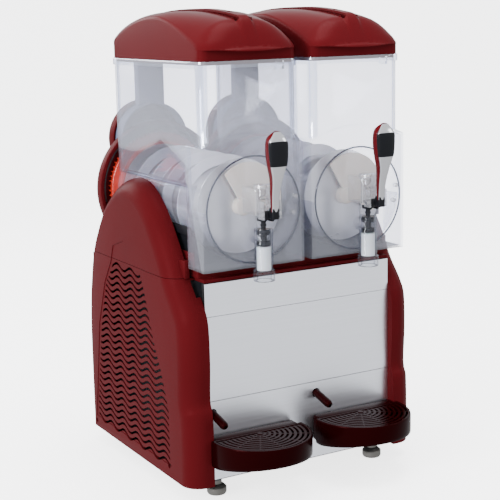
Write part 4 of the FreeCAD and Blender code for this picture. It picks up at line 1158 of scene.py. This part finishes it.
def carriedOver():
    for node, material, ease in (
            ("deck", "cover", 0.8), ("bowl_cradle", "black", 0.8), ("bulkhead", "cover", 0.6),
            ("motor_housings", "slate", 0.6), ("motor_covers", "cover", 0.5), ("rear_panel", "galvanised", 0.2),
            ("housing_gasket", "rubber", 0.6), ("cable_inlet", "rubber", 0.4),
            ("rocker_switch_1", "black", 0.4), ("rocker_switch_2", "black", 0.4), ("rocker_switch_3", "black", 0.4)):
        easedNode(node, material, ease)
    for zone in ("upper", "middle", "lower"):
        easedNode("front_panel_" + zone, "sheet", 0.4, angle=9.0)
    for name, _ in sides:
        bowlShell("bowl_" + name)
    # The base tray and chassis sides take the darker zinc as painted shade.
    repaint("inner", "base_tray", "chassis_sides")
    repaint("castGrey", "gearmotors", "fan_motor")
    repaint("steel", "drive_shaft_left", "drive_shaft_right", "lever_pin_left", "lever_pin_right")
    repaint("enamel", "compressor")
    repaint("rubber", "compressor_mounts")
    repaint("fins", "condenser")
    repaint("black", "fan_shroud", "fan_blades")
    repaint("copper", "refrigerant_pipes")


view = {"place": (-1.069, -1.883, 0.7998), "yaw": 29.72, "pitch": 11.03, "roll": -1.25, "lens": 86.94,
        "low": 1.25, "left": 0.9, "front": 0.2, "top": 0.5}


def stage():
    path = [(-6.0, 0.0), (3.0, 0.0)] + [(3.0 + 1.5 * math.sin(math.radians(a)), 1.5 - 1.5 * math.cos(math.radians(a)))
                                        for a in range(10, 91, 10)] + [(4.5, 6.0)]
    points = [(x, y, z) for x in (-6.0, 6.0) for y, z in path]
    count = len(path)
    faces = [(i, i + 1, count + i + 1, count + i) for i in range(count - 1)]
    sweep = bpy.data.objects.new("sweep", meshFrom("sweep", points, faces, outward=False))
    sweep.data.materials.append(finishes["paper"])
    sweep.data.polygons.foreach_set("use_smooth", [True] * len(sweep.data.polygons))
    bpy.context.scene.collection.objects.link(sweep)
    sweep.visible_glossy = False
    sweep.visible_diffuse = False

    yaw, pitch, roll = (math.radians(view[key]) for key in ("yaw", "pitch", "roll"))
    ahead = Vector((math.sin(yaw) * math.cos(pitch), math.cos(yaw) * math.cos(pitch), -math.sin(pitch)))
    right = Vector((math.cos(yaw), -math.sin(yaw), 0.0))
    up = right.cross(ahead)
    rightTurned = right * math.cos(roll) + up * math.sin(roll)
    upTurned = -right * math.sin(roll) + up * math.cos(roll)
    camera = bpy.data.objects.new("camera", bpy.data.cameras.new("camera"))
    camera.data.lens = view["lens"]
    camera.data.sensor_width = 36.0
    turn = Matrix((rightTurned, upTurned, -ahead)).transposed().to_4x4()
    camera.matrix_world = Matrix.Translation(Vector(view["place"]) + Vector((0, frameShift, 0))) @ turn
    bpy.context.scene.collection.objects.link(camera)
    bpy.context.scene.camera = camera

    world = bpy.data.worlds.new("studio")
    world.use_nodes = True
    sky = Graph(world.node_tree)
    sky.tree.nodes.clear()
    ray = sky.node("ShaderNodeSeparateXYZ", None, {0: sky.out("ShaderNodeTexCoord", None, None, 0)})
    x, y, z = (Value(sky, socket) for socket in ray.outputs)
    fromLeft, fromFront, fromTop = (0.0 - x).atLeast(0.0), (0.0 - y).atLeast(0.0), z.atLeast(0.0)
    brightness = view["low"] + fromLeft * view["left"] + fromFront * view["front"] + fromTop * view["top"]
    glow = sky.out("ShaderNodeBackground", None, {"Color": (0.97, 0.98, 1.0, 1.0), "Strength": brightness})
    sky.node("ShaderNodeOutputWorld", None, {"Surface": glow})
    bpy.context.scene.world = world
    target = Vector((0, 0, 0.4))
    for name, place, size, power in (("key", (-3.0, -0.9, 1.5), 1.2, 130.0), ("fill", (2.4, -1.8, 1.6), 0.9, 16.0),
                                     ("top", (0.2, -0.2, 3.0), 1.4, 80.0), ("rim", (-1.0, 2.6, 1.6), 1.4, 45.0)):
        lamp = bpy.data.lights.new(name, "AREA")
        lamp.size = size
        lamp.energy = power
        holder = bpy.data.objects.new(name, lamp)
        holder.location = place
        holder.rotation_euler = (target - Vector(place)).to_track_quat("-Z", "Y").to_euler()
        bpy.context.scene.collection.objects.link(holder)


stage()
for make in (sideCovers, lids, levers, tapInsides, augers, augerPlates, drums, bowlSeals, dripTrays, feet, drainSpouts,
             screwHeads, bowlLines, dustScreens, carriedOver):
    make()
    print("made:", make.__name__)
